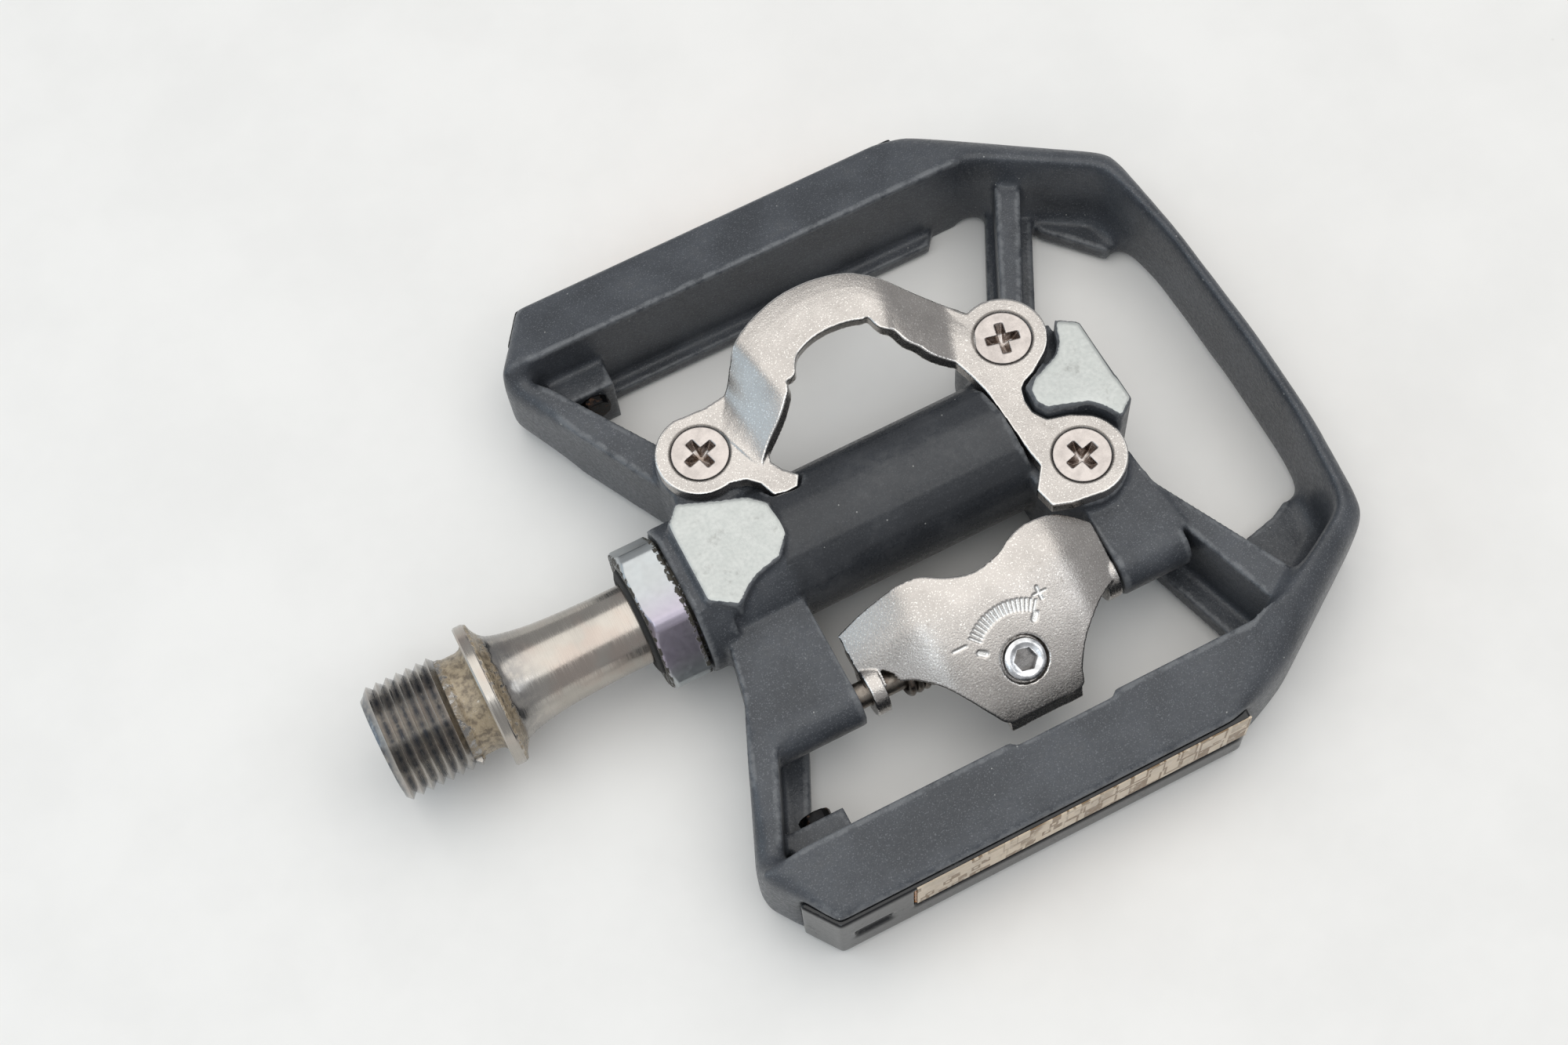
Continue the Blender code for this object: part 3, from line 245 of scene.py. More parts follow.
def turned(name: str, profile: Sequence[Flat], at: Sequence[float] = (0.0, 0.0, 0.0),
           along: Sequence[float] = (1.0, 0.0, 0.0), sides: int = 96) -> bpy.types.Object:
    """Turn a profile round an axis.

    Args:
        name: Name of the object.
        profile: (distance along the axis, radius) points; a ring's profile ends where it starts.
        at: A point on the axis, from which distances count.
        along: The axis.
        sides: How many steps make a full turn.

    Returns:
        The new object.
    """
    axis = Vector(along).normalized()
    turn = Vector((0, 0, 1)).rotation_difference(axis)
    ring = profile[0] == profile[-1]
    rows = []
    for distance, radius in profile[:-1] if ring else profile:
        centre = Vector(at) + axis * distance
        angles = [2 * math.pi * i / sides for i in range(sides)]
        reach = max(radius, 1e-4)
        rows.append([centre + turn @ Vector((reach * math.cos(t), reach * math.sin(t), 0)) for t in angles])
    return skin(name, rows, ring)


def rod(name: str, start: Sequence[float], end: Sequence[float], radius: float, sides: int = 64,
        end_radius: float | None = None) -> bpy.types.Object:
    """Make a straight round bar or cone between two points.

    Args:
        name: Name of the object.
        start: Centre of the first end.
        end: Centre of the second end.
        radius: Radius at the first end.
        sides: Corners of its section.
        end_radius: Radius at the second end, where it differs.

    Returns:
        The new object.
    """
    way = Vector(end) - Vector(start)
    far = radius if end_radius is None else end_radius
    return turned(name, [(0.0, radius), (way.length, far)], start, way, sides)


def cad_copy(node: str, name: str) -> bpy.types.Object:
    """Copy a CAD node's mesh into a new object, with its doubles merged.

    Args:
        node: The CAD node.
        name: Name of the new object.

    Returns:
        The new object.
    """
    mesh = frame["nodes"][node].data.copy()
    mesh.name = name
    mesh.materials.clear()
    weld(mesh)
    return link(name, mesh)


def bake(piece: bpy.types.Object) -> None:
    """Replace a piece's mesh by what its modifiers make of it, and drop them.

    Args:
        piece: The piece that is changed.
    """
    graph = bpy.context.evaluated_depsgraph_get()
    graph.update()
    mesh = bpy.data.meshes.new_from_object(piece.evaluated_get(graph))
    piece.modifiers.clear()
    old = piece.data
    piece.data = mesh
    if old.users == 0:
        bpy.data.meshes.remove(old)


def drop(piece: bpy.types.Object) -> None:
    """Remove a helper object and its mesh.

    Args:
        piece: The helper.
    """
    mesh = piece.data
    bpy.data.objects.remove(piece)
    if mesh.users == 0:
        bpy.data.meshes.remove(mesh)


def boolean(piece: bpy.types.Object, others: Sequence[bpy.types.Object], operation: str) -> None:
    """Cut helpers from a piece, or join them to it, and remove them.

    Args:
        piece: The piece that is changed.
        others: The helpers.
        operation: DIFFERENCE, UNION or INTERSECT.
    """
    for other in others:
        step = piece.modifiers.new("step", "BOOLEAN")
        step.operation = operation
        step.solver = "EXACT"
        step.object = other
    bake(piece)
    for other in others:
        drop(other)


def merge(piece: bpy.types.Object, others: Sequence[bpy.types.Object]) -> None:
    """Lay other closed shells into a piece's mesh, for a remesh to fuse, and remove them.

    Args:
        piece: The piece that is changed.
        others: The shells that are laid in.
    """
    work = bmesh.new()
    work.from_mesh(piece.data)
    for other in others:
        work.from_mesh(other.data)
        drop(other)
    work.to_mesh(piece.data)
    work.free()


@dataclass(frozen=True)
class Grain:
    """How finely a piece is remeshed.

    Attributes:
        voxel: Size of its even mesh, in millimetres.
        rounds: How many times it is smoothed.
        most: Triangles to keep.
    """

    voxel: float
    rounds: int
    most: int


def even_out(piece: bpy.types.Object, voxel: float) -> None:
    """Give a piece a live modifier that makes its mesh even.

    Args:
        piece: The piece that is changed.
        voxel: Size of the even mesh, in millimetres.
    """
    remesh = piece.modifiers.new("even", "REMESH")
    remesh.mode = "VOXEL"
    remesh.voxel_size = voxel * MM


def fuse(piece: bpy.types.Object, grain: Grain,
         shape: Callable[[bpy.types.Object], None] | None = None) -> None:
    """Remesh a piece evenly, round its edges by smoothing, and thin its flat stretches.

    Args:
        piece: The piece that is changed.
        grain: How finely it is remeshed.
        shape: What else to do to the even mesh before it is thinned.
    """
    even_out(piece, grain.voxel)
    smooth = piece.modifiers.new("round", "SMOOTH")
    smooth.factor = 0.5
    smooth.iterations = grain.rounds
    bake(piece)
    if shape is not None:
        shape(piece)
    triangles = 2 * len(piece.data.polygons)
    if triangles > grain.most:
        thin = piece.modifiers.new("thin", "DECIMATE")
        thin.ratio = grain.most / triangles
        bake(piece)
    piece.data.shade_smooth()


def shade(piece: bpy.types.Object, angle: float = 30.0) -> None:
    """Shade a piece smooth, with edges sharper than an angle in degrees left crisp."""
    piece.data.shade_smooth()
    piece.data.set_sharp_from_angle(angle=math.radians(angle))


def corners(piece: bpy.types.Object) -> np.ndarray:
    """Return a piece's corners in the pedal's own frame, in millimetres.

    Args:
        piece: The piece.

    Returns:
        The places, one row for each corner.
    """
    flat = np.empty(len(piece.data.vertices) * 3, np.float32)
    piece.data.vertices.foreach_get("co", flat)
    return (flat.reshape(-1, 3) - np.array(ORIGIN)) / MM


def paint(piece: bpy.types.Object, name: str, values: np.ndarray) -> None:
    """Store one number per corner for the materials to read."""
    layer = piece.data.attributes.new(name, "FLOAT", "POINT")
    layer.data.foreach_set("value", values.astype(np.float32))


def put_back(piece: bpy.types.Object, spots: np.ndarray) -> None:
    """Move a piece's corners to places in the pedal's own frame.

    Args:
        piece: The piece that is changed.
        spots: The places, one row for each corner.
    """
    flat = (spots * MM + np.array(ORIGIN)).astype(np.float32).reshape(-1)
    piece.data.vertices.foreach_set("co", flat)
    piece.data.update()


def neighbours(piece: bpy.types.Object) -> Callable[[np.ndarray], np.ndarray]:
    """Return a function that averages a column of numbers over each corner's neighbours.

    Args:
        piece: The piece.

    Returns:
        A function from a column of numbers to the column of their averages.
    """
    mesh = piece.data
    count = len(mesh.vertices)
    edges = np.empty(len(mesh.edges) * 2, np.int32)
    mesh.edges.foreach_get("vertices", edges)
    a, b = edges.reshape(-1, 2).T
    degree = np.maximum(np.bincount(a, minlength=count) + np.bincount(b, minlength=count), 1)

    def mean(values: np.ndarray) -> np.ndarray:
        """Average the column."""
        return (np.bincount(a, values[b], count) + np.bincount(b, values[a], count)) / degree

    return mean


def pull(spots: np.ndarray, mean: Callable[[np.ndarray], np.ndarray]) -> np.ndarray:
    """Return the way from each corner to the average of its neighbours."""
    return np.stack([mean(spots[:, axis]) for axis in range(3)], axis=1) - spots


def hull_distance(flat: np.ndarray) -> np.ndarray:
    """Measure how deep points lie inside their own convex outline.

    Args:
        flat: The points, two columns.

    Returns:
        Each point's distance from the nearest side, 0 on the outline.
    """
    order = convex_hull_2d([Vector(point) for point in flat[::17]])
    outline = flat[::17][order]
    middle = outline.mean(axis=0)
    depth = np.full(len(flat), 1e9)
    for start, end in zip(outline, np.roll(outline, -1, axis=0)):
        way = end - start
        length = np.linalg.norm(way)
        if length < 1e-6:
            continue
        normal = np.array((-way[1], way[0])) / length
        normal *= np.sign((middle - start) @ normal)
        depth = np.minimum(depth, (flat - start) @ normal)
    return depth


def convexity(piece: bpy.types.Object, passes: int = 3) -> np.ndarray:
    """Measure how far each corner stands out of its neighbours.

    Args:
        piece: The piece to measure.
        passes: How often the measure is averaged with the neighbours'.

    Returns:
        One number per corner, positive on outer edges, in units of the mean edge.
    """
    mesh = piece.data
    normals = np.empty(len(mesh.vertices) * 3, np.float32)
    mesh.vertices.foreach_get("normal", normals)
    normals = normals.reshape(-1, 3)
    spots = corners(piece)
    mean = neighbours(piece)
    inward = pull(spots, mean)
    bulge = -(inward * normals).sum(axis=1) / np.linalg.norm(inward, axis=1).clip(1e-6).mean()
    bulge *= 0.1
    for _ in range(passes):
        bulge = 0.5 * bulge + 0.5 * mean(bulge)
    return bulge


def rubbed_edges(piece: bpy.types.Object) -> np.ndarray:
    """Find where a pressed plate is rubbed bright, as a share from 0 to 1 for each corner."""
    return smoothstep(0.04, 0.35, convexity(piece))


# ---------------------------------------------------------------- node trees
class Tree:
    """A short way to build a node tree."""

    def __init__(self, tree: bpy.types.NodeTree) -> None:
        """Hold the tree that is built."""
        self.tree = tree

    def add(self, kind: str, inputs: dict | None = None, **settings: object) -> bpy.types.Node:
        """Add a node and wire it up.

        Args:
            kind: The node's type.
            inputs: Socket name or number, to a value or to another node's output.
            **settings: Properties of the node.

        Returns:
            The new node.
        """
        node = self.tree.nodes.new(kind)
        for key, value in settings.items():
            setattr(node, key, value)
        for key, value in (inputs or {}).items():
            socket = node.inputs[key]
            if isinstance(value, bpy.types.NodeSocket):
                self.tree.links.new(value, socket)
            else:
                socket.default_value = value
        return node

    def math(self, operation: str, *values: object) -> bpy.types.NodeSocket:
        """Do arithmetic on numbers or sockets, and return the result's socket."""
        return self.add("ShaderNodeMath", dict(enumerate(values)), operation=operation).outputs[0]

    def times(self, first: object, second: object) -> bpy.types.NodeSocket:
        """Multiply two numbers or sockets."""
        return self.math("MULTIPLY", first, second)

    def plus(self, first: object, second: object) -> bpy.types.NodeSocket:
        """Add two numbers or sockets."""
        return self.math("ADD", first, second)

    def minus(self, first: object, second: object) -> bpy.types.NodeSocket:
        """Take the second number or socket from the first."""
        return self.math("SUBTRACT", first, second)

    def rest(self, share: object) -> bpy.types.NodeSocket:
        """Return what a share leaves of 1."""
        return self.minus(1.0, share)

    def most(self, first: object, second: object) -> bpy.types.NodeSocket:
        """Return the greater of two numbers or sockets."""
        return self.math("MAXIMUM", first, second)

    def mix(self, share: object, first: object, second: object) -> bpy.types.NodeSocket:
        """Mix two colours by a share.

        Args:
            share: Share of the second colour, or its socket.
            first: The first colour, or its socket.
            second: The second colour, or its socket.

        Returns:
            The result's socket.
        """
        node = self.add("ShaderNodeMix", data_type="RGBA")
        for index, value in ((0, share), (6, first), (7, second)):
            if isinstance(value, bpy.types.NodeSocket):
                self.tree.links.new(value, node.inputs[index])
            elif index == 0:
                node.inputs[index].default_value = value
            else:
                node.inputs[index].default_value = (*value, 1.0)
        return node.outputs[2]

    def ramp(self, value: bpy.types.NodeSocket, low: float, high: float,
             start: float = 0.0, end: float = 1.0) -> bpy.types.NodeSocket:
        """Map a value smoothly from low..high to start..end.

        Args:
            value: The socket that is mapped.
            low: Value where the change starts.
            high: Value where it ends.
            start: What low turns into.
            end: What high turns into.

        Returns:
            The result's socket.
        """
        inputs = {"Value": value, "From Min": low, "From Max": high, "To Min": start, "To Max": end}
        node = self.add("ShaderNodeMapRange", inputs, interpolation_type="SMOOTHSTEP")
        return node.outputs["Result"]


class Skin(Tree):
    """A material under construction: object coordinates, common patterns and one Principled shader."""

    def __init__(self, name: str) -> None:
        """Start a material with nothing but its output.

        Args:
            name: Name of the material.
        """
        self.material = bpy.data.materials.new(name)
        self.material.use_nodes = True
        super().__init__(self.material.node_tree)
        self.tree.nodes.clear()
        self.where = self.add("ShaderNodeTexCoord").outputs["Object"]

    def stretched(self, scale: Point, turn: Point = (0.0, 0.0, 0.0)) -> bpy.types.NodeSocket:
        """Return object coordinates scaled and turned, for patterns with a direction."""
        inputs = {"Vector": self.where, "Scale": scale, "Rotation": turn}
        return self.add("ShaderNodeMapping", inputs).outputs[0]

    def noise(self, size: float, detail: float = 2.0, where: bpy.types.NodeSocket | None = None,
              roughness: float = 0.5) -> bpy.types.NodeSocket:
        """Return a noise pattern.

        Args:
            size: Size of its features, in millimetres.
            detail: How many finer layers it has.
            where: Other coordinates than the object's.
            roughness: Strength of the finer layers.

        Returns:
            The pattern's socket, about 0.5 on average.
        """
        inputs = {"Vector": where or self.where, "Scale": 1.0 / (size * MM), "Detail": detail,
                  "Roughness": roughness}
        return self.add("ShaderNodeTexNoise", inputs).outputs["Fac"]

    def tiles(self, size: float, disorder: float,
              where: bpy.types.NodeSocket | None = None) -> bpy.types.NodeSocket:
        """Return a pattern of square tiles.

        Args:
            size: Size of a tile, in millimetres.
            disorder: How far the tiles stray from a grid, from 0 to 1.
            where: Other coordinates than the object's.

        Returns:
            The socket of the distance from the nearest tile's middle.
        """
        inputs = {"Vector": where or self.where, "Scale": 1.0 / (size * MM), "Randomness": disorder}
        return self.add("ShaderNodeTexVoronoi", inputs, distance="CHEBYCHEV").outputs["Distance"]

    def specks(self, spacing: float, reach: float) -> bpy.types.NodeSocket:
        """Return round specks.

        Args:
            spacing: Distance from one to the next, in millimetres.
            reach: Radius of a speck as a share of the spacing.

        Returns:
            The socket of a mask, 1 on the specks.
        """
        inputs = {"Vector": self.where, "Scale": 1.0 / (spacing * MM)}
        cells = self.add("ShaderNodeTexVoronoi", inputs)
        return self.ramp(cells.outputs["Distance"], reach * 0.6, reach, 1.0, 0.0)

    def along(self, axis: str) -> bpy.types.NodeSocket:
        """Return the object coordinate along X, Y or Z, in metres."""
        return self.add("ShaderNodeSeparateXYZ", {0: self.where}).outputs[axis]

    def stored(self, name: str) -> bpy.types.NodeSocket:
        """Return a number stored on the mesh."""
        return self.add("ShaderNodeAttribute", attribute_name=name).outputs["Fac"]

    def finish(self, colour: object, roughness: object, metallic: object = 0.0,
               height: bpy.types.NodeSocket | None = None, depth: float = 0.02, strength: float = 1.0,
               **constants: float) -> bpy.types.Material:
        """Close the material with its shader.

        Args:
            colour: Base colour, or its socket.
            roughness: Roughness, or its socket.
            metallic: Metallic value, or its socket.
            height: Height pattern for the bump.
            depth: What a height of 1 stands for, in millimetres.
            strength: Strength of the bump.
            **constants: Other sockets of the shader, with spaces written as underscores.

        Returns:
            The finished material.
        """
        base = colour if isinstance(colour, bpy.types.NodeSocket) else (*colour, 1.0)
        inputs = {"Base Color": base, "Roughness": roughness, "Metallic": metallic}
        inputs.update({key.replace("_", " "): value for key, value in constants.items()})
        if height is not None:
            bump = {"Height": height, "Distance": depth * MM, "Strength": strength}
            inputs["Normal"] = self.add("ShaderNodeBump", bump).outputs[0]
        shader = self.add("ShaderNodeBsdfPrincipled", inputs)
        self.add("ShaderNodeOutputMaterial", {"Surface": shader.outputs[0]})
        return self.material


# ---------------------------------------------------------------- finishes
def scaled(colour: Colour, share: float) -> Colour:
    """Multiply each channel of a colour by a share."""
    return tuple(channel * share for channel in colour)


@dataclass(frozen=True)
class Finish:
    """Base of every finish: a name, a colour and a roughness."""

    name: str
    colour: Colour
    roughness: float

    def gloss(self, coat: Skin, pattern: bpy.types.NodeSocket, smoother: float,
              rougher: float) -> bpy.types.NodeSocket:
        """Vary the finish's roughness with a pattern.

        Args:
            coat: The material under construction.
            pattern: The pattern, about 0.5 on average.
            smoother: How far the roughness falls where the pattern is low.
            rougher: How far it rises where the pattern is high.

        Returns:
            The roughness's socket.
        """
        return coat.ramp(pattern, 0.3, 0.7, self.roughness - smoother, self.roughness + rougher)

    def build(self) -> bpy.types.Material:
        """Build the finish's material."""
        raise NotImplementedError


@dataclass(frozen=True)
class PowderCoat(Finish):
    """Dark textured paint on the casting, with worn edges, dust and two milled pads."""

    worn: Colour = (0.25, 0.26, 0.27)
    dusty: Colour = (0.085, 0.086, 0.088)
    bare: Colour = (0.50, 0.518, 0.50)
    # Colour of the tiny highlights painted into the paint as specks
    glitter_highlight: Colour = (0.24, 0.25, 0.27)
    glint: Colour = (0.5, 0.5, 0.48)
    stained: Colour = (0.25, 0.255, 0.24)
    # Lighter pad colour, painted on in patches as highlight
    rubbed: Colour = (0.62, 0.63, 0.61)
    grain: float = 0.42
    milled_z: float = 8.4

    def build(self) -> bpy.types.Material:
        """Build the paint, and the bare metal above the milled height.

        Returns:
            The finished material.
        """
        coat = Skin(self.name)
        barrel = coat.stored("barrel")
        wear = coat.stored("wear")
        blotch = coat.noise(7.0, 3.0)
        patch = coat.noise(1.4, 3.0, roughness=0.65)
        fine = coat.noise(self.grain, 2.0, roughness=0.6)
        orange = coat.noise(self.grain * 2.2, 1.0)
        # Worn edges: the wear stored on the mesh, broken up by two patterns
        broken = coat.times(wear, coat.ramp(patch, 0.30, 0.66, 0.3, 1.0))
        edge = coat.ramp(broken, 0.15, 0.85)
        # Dry dust lies in soft clouds, with a few bright specks
        cloud = coat.times(coat.ramp(blotch, 0.46, 0.72), coat.ramp(patch, 0.35, 0.7))
        dirt = coat.times(cloud, 0.42)
        tone = coat.mix(coat.ramp(blotch, 0.3, 0.7), scaled(self.colour, 0.8),
                         scaled(self.colour, 1.25))
        tone = coat.mix(coat.times(barrel, 0.65), tone, scaled(self.colour, 0.3))
        tone = coat.mix(dirt, tone, self.dusty)
        tone = coat.mix(coat.times(edge, 0.34), tone, self.worn)
        # Lighter specks painted into the colour as tiny highlights, fewer on the barrel
        glitter_highlight = coat.ramp(coat.noise(0.17, 1.0), 0.56, 0.74)
        glitter_highlight = coat.times(glitter_highlight, coat.ramp(barrel, 0.0, 1.0, 0.36, 0.12))
        tone = coat.mix(glitter_highlight, tone, self.glitter_highlight)
        glint = coat.specks(2.3, 0.05)
        tone = coat.mix(coat.times(glint, 0.55), tone, self.glint)
        # Milled pads, stained grey, with lighter patches painted on as highlight
        height = coat.along("Z")
        level = ORIGIN.z + self.milled_z * MM
        milled = coat.ramp(height, level - 0.00002, level + 0.00002)
        smear = coat.noise(2.6, 4.0, roughness=0.62)
        stain = coat.times(coat.ramp(smear, 0.54, 0.70), coat.ramp(patch, 0.42, 0.62))
        metal = coat.mix(coat.times(stain, 0.75), self.bare, self.stained)
        # Lighter patches painted on the pads as highlight
        metal = coat.mix(coat.ramp(patch, 0.42, 0.6, 0.0, 0.25), metal, self.rubbed)
        colour = coat.mix(milled, tone, metal)
        # Gloss: the barrel is smoother than the rest
        rough = self.gloss(coat, fine, 0.06, 0.1)
        rough = coat.plus(rough, coat.times(dirt, 0.25))
        rough = coat.minus(rough, coat.times(barrel, 0.06))
        rough = coat.times(rough, coat.rest(coat.times(milled, 0.05)))
        # Orange peel and grain, weaker on the barrel and on the pads
        relief = coat.plus(coat.times(fine, 0.6), coat.times(orange, 0.5))
        calm = coat.rest(coat.times(barrel, 0.6))
        calm = coat.times(calm, coat.rest(coat.times(milled, 0.75)))
        relief = coat.times(relief, calm)
        return coat.finish(colour, rough, coat.times(milled, 0.55), relief, 0.075, 1.0,
                            Specular_IOR_Level=0.46)


@dataclass(frozen=True)
class NickelPlate(Finish):
    """Bright nickel over a fine blasted grain, with bright specks painted into its colour as highlights."""

    grain: float = 0.20
    stain: Colour = (0.17, 0.145, 0.12)
    # Colour of the highlight specks painted into the nickel
    sparkle_highlight: Colour = (0.86, 0.84, 0.80)
    rubbed: Colour = (0.80, 0.79, 0.77)
    engraved: Colour = (0.88, 0.88, 0.86)
    # Near-black of the painted shade round the front claw's screw heads
    dirt: Colour = (0.05, 0.042, 0.036)

    def build(self) -> bpy.types.Material:
        """Build the plated steel.

        Returns:
            The finished material.
        """
        coat = Skin(self.name)
        fine = coat.noise(self.grain, 2.0, roughness=0.65)
        cloud = coat.noise(5.0, 3.0)
        patch = coat.noise(1.1, 3.0, roughness=0.6)
        wear = coat.stored("wear")
        # Bright specks painted into the colour as tiny highlights
        sparkle_highlight = coat.ramp(coat.noise(self.grain * 0.9, 1.0), 0.6, 0.72)
        tone = coat.mix(coat.ramp(cloud, 0.35, 0.65), self.colour, scaled(self.colour, 0.86))
        tone = coat.mix(coat.times(sparkle_highlight, 0.7), tone, self.sparkle_highlight)
        grime = coat.times(coat.ramp(patch, 0.58, 0.76), coat.ramp(cloud, 0.45, 0.7))
        tone = coat.mix(coat.times(grime, 0.5), tone, self.stain)
        edge = coat.ramp(wear, 0.1, 0.5)
        tone = coat.mix(coat.times(edge, 0.5), tone, self.rubbed)
        tone = coat.mix(coat.times(coat.stored("mark"), 0.7), tone, self.engraved)
        # Darkens the front claw round its screw heads: painted shade in the gaps
        tone = coat.mix(coat.times(coat.stored("dirt"), 0.75), tone, self.dirt)
        rough = self.gloss(coat, fine, 0.05, 0.09)
        rough = coat.minus(rough, coat.times(edge, 0.12))
        relief = coat.times(fine, coat.rest(coat.times(edge, 0.7)))
        return coat.finish(tone, rough, 1.0, relief, 0.028, 1.0)


@dataclass(frozen=True)
class ScrewPlate(Finish):
    """Nickel on a screw: smoother than the claw, with old dirt in the recess."""

    recess_z: float = 6.75
    muck: Colour = (0.22, 0.155, 0.115)
    # Near-black of the painted shade in the gap round the head
    dirt: Colour = (0.03, 0.026, 0.024)

    def build(self) -> bpy.types.Material:
        """Build the plated screw.

        Returns:
            The finished material.
        """
        coat = Skin(self.name)
        fine = coat.noise(0.3, 2.0)
        cloud = coat.noise(1.5, 3.0)
        height = coat.along("Z")
        level = ORIGIN.z + self.recess_z * MM
        sunk = coat.ramp(height, level - 0.0004, level, 1.0, 0.0)
        tone = coat.mix(coat.ramp(cloud, 0.35, 0.7), self.colour, scaled(self.colour, 0.8))
        muck = coat.times(sunk, coat.ramp(cloud, 0.4, 0.65, 0.05, 0.7))
        tone = coat.mix(muck, tone, self.muck)
        # Near-black ring at the head's rim: painted shade in the gap to the countersink
        tone = coat.mix(coat.times(coat.stored("dirt"), 0.9), tone, self.dirt)
        rough = self.gloss(coat, fine, 0.04, 0.07)
        return coat.finish(tone, rough, 1.0, fine, 0.003, 1.0)


@dataclass(frozen=True)
class TurnedSteel(Finish):
    """Polished steel with turning marks, oil stains, a dark reflection painted on the neck's fillet, and
    heat-brown grease.
    """

    grease: Colour = (0.40, 0.325, 0.225)
    caked: Colour = (0.17, 0.135, 0.095)
    heat: Colour = (0.46, 0.35, 0.30)
    # Tone of the thread's oil and of the reflection painted on the fillet
    oil_and_reflection: Colour = (0.13, 0.14, 0.16)
    bands: float = 0.16

    def build(self) -> bpy.types.Material:
        """Build the spindle's steel.

        Returns:
            The finished material.
        """
        coat = Skin(self.name)
        rings = coat.noise(self.bands, 1.0, coat.stretched((1.0, 0.02, 0.02)))
        cloud = coat.noise(6.0, 3.0)
        patch = coat.noise(1.0, 4.0, roughness=0.65)
        oil = coat.stored("oil")
        muck = coat.stored("grease")
        tone = coat.mix(coat.ramp(cloud, 0.3, 0.7), self.colour, scaled(self.colour, 0.8))
        tint = coat.ramp(coat.noise(4.0, 2.0), 0.45, 0.7)
        tint = coat.times(tint, coat.minus(0.35, coat.times(oil, 0.35)))
        tone = coat.mix(tint, tone, self.heat)
        # Oil on the thread, and a dark reflection painted on the fillet by the flange
        dark = coat.times(oil, coat.ramp(patch, 0.3, 0.62, 0.35, 0.92))
        tone = coat.mix(dark, tone, self.oil_and_reflection)
        caked = coat.ramp(coat.times(muck, coat.ramp(patch, 0.3, 0.6, 0.45, 1.25)), 0.3, 0.62)
        shades = coat.mix(coat.ramp(patch, 0.4, 0.65), self.grease, self.caked)
        tone = coat.mix(caked, tone, shades)
        metallic = coat.rest(coat.times(caked, 0.9))
        rough = self.gloss(coat, rings, 0.05, 0.08)
        rough = coat.plus(rough, coat.times(caked, 0.12))
        relief = coat.plus(coat.times(rings, 0.015),
                            coat.times(coat.times(patch, caked), 2.0))
        return coat.finish(tone, rough, metallic, relief, 0.05, 1.0)


@dataclass(frozen=True)
class CollarAlloy(Finish):
    """Bright anodised alloy with a faint lilac reflection painted on the rear upper flats, and dirt where it meets
    the body.
    """

    lilac: Colour = (0.40, 0.345, 0.435)
    dull: Colour = (0.38, 0.38, 0.38)
    dirt: Colour = (0.05, 0.045, 0.035)

    def build(self) -> bpy.types.Material:
        """Build the collar's alloy.

        Returns:
            The finished material.
        """
        coat = Skin(self.name)
        cloud = coat.noise(3.0, 3.0)
        patch = coat.noise(0.8, 4.0, roughness=0.65)
        fine = coat.noise(0.7, 2.0)
        # A lilac reflection painted on the flats towards the rear and the top
        rear = coat.ramp(coat.along("Y"), -0.0055, 0.001, 1.0, 0.0)
        upper = coat.ramp(coat.along("Z"), ORIGIN.z + 0.001, ORIGIN.z + 0.004)
        tint = coat.times(coat.times(rear, upper), 0.8)
        tone = coat.mix(tint, self.colour, self.lilac)
        tone = coat.mix(coat.ramp(cloud, 0.4, 0.7, 0.0, 0.3), tone, self.dull)
        edge = coat.stored("dirt")
        grime = coat.ramp(coat.times(edge, coat.ramp(patch, 0.35, 0.62, 0.2, 1.2)), 0.35, 0.6)
        tone = coat.mix(grime, tone, self.dirt)
        rough = self.gloss(coat, fine, 0.02, 0.04)
        rough = coat.plus(rough, coat.times(grime, 0.3))
        metallic = coat.rest(coat.times(grime, 0.85))
        relief = coat.plus(fine, coat.times(grime, 5.0))
        return coat.finish(tone, rough, metallic, relief, 0.004, 1.0)


@dataclass(frozen=True)
class OiledSteel(Finish):
    """Plain steel hardware with a little rust, painted darker where a piece stores a grease mask."""

    rust: Colour = (0.16, 0.07, 0.03)
    # Near-black of the darkening in the bolt's socket
    grease: Colour = (0.030, 0.022, 0.016)
    rusty: float = 0.3

    def build(self) -> bpy.types.Material:
        """Build the hardware's steel.

        Returns:
            The finished material.
        """
        coat = Skin(self.name)
        cloud = coat.noise(1.4, 3.0)
        patch = coat.noise(0.5, 4.0, roughness=0.65)
        tone = coat.mix(coat.ramp(cloud, 0.35, 0.7), self.colour, scaled(self.colour, 0.55))
        bloom = coat.times(coat.ramp(patch, 0.5, 0.7), coat.ramp(cloud, 0.4, 0.6))
        bloom = coat.times(bloom, self.rusty)
        tone = coat.mix(bloom, tone, self.rust)
        # Darker where the mesh stores a grease mask: on the bolt, towards its socket's floor
        tone = coat.mix(coat.times(coat.stored("grease"), 0.8), tone, self.grease)
        rough = self.gloss(coat, patch, 0.06, 0.14)
        metallic = coat.rest(bloom)
        return coat.finish(tone, rough, metallic, patch, 0.02, 1.0)


@dataclass(frozen=True)
class MouldedResin(Finish):
    """Moulded plastic or rubber with a light film of dust."""

    dust: Colour = (0.10, 0.10, 0.10)
    grain: float = 0.5
    relief: float = 0.01
    coat: float = 0.0

    def build(self) -> bpy.types.Material:
        """Build the plastic.

        Returns:
            The finished material.
        """
        coat = Skin(self.name)
        cloud = coat.noise(4.0, 3.0)
        fine = coat.noise(self.grain, 3.0, roughness=0.6)
        film = coat.times(coat.ramp(cloud, 0.5, 0.75), coat.ramp(fine, 0.35, 0.7))
        tone = coat.mix(coat.times(film, 0.5), self.colour, self.dust)
        rough = coat.plus(self.gloss(coat, fine, 0.04, 0.08),
                           coat.times(film, 0.2))
        return coat.finish(tone, rough, 0.0, fine, self.relief, 1.0, Coat_Weight=self.coat)


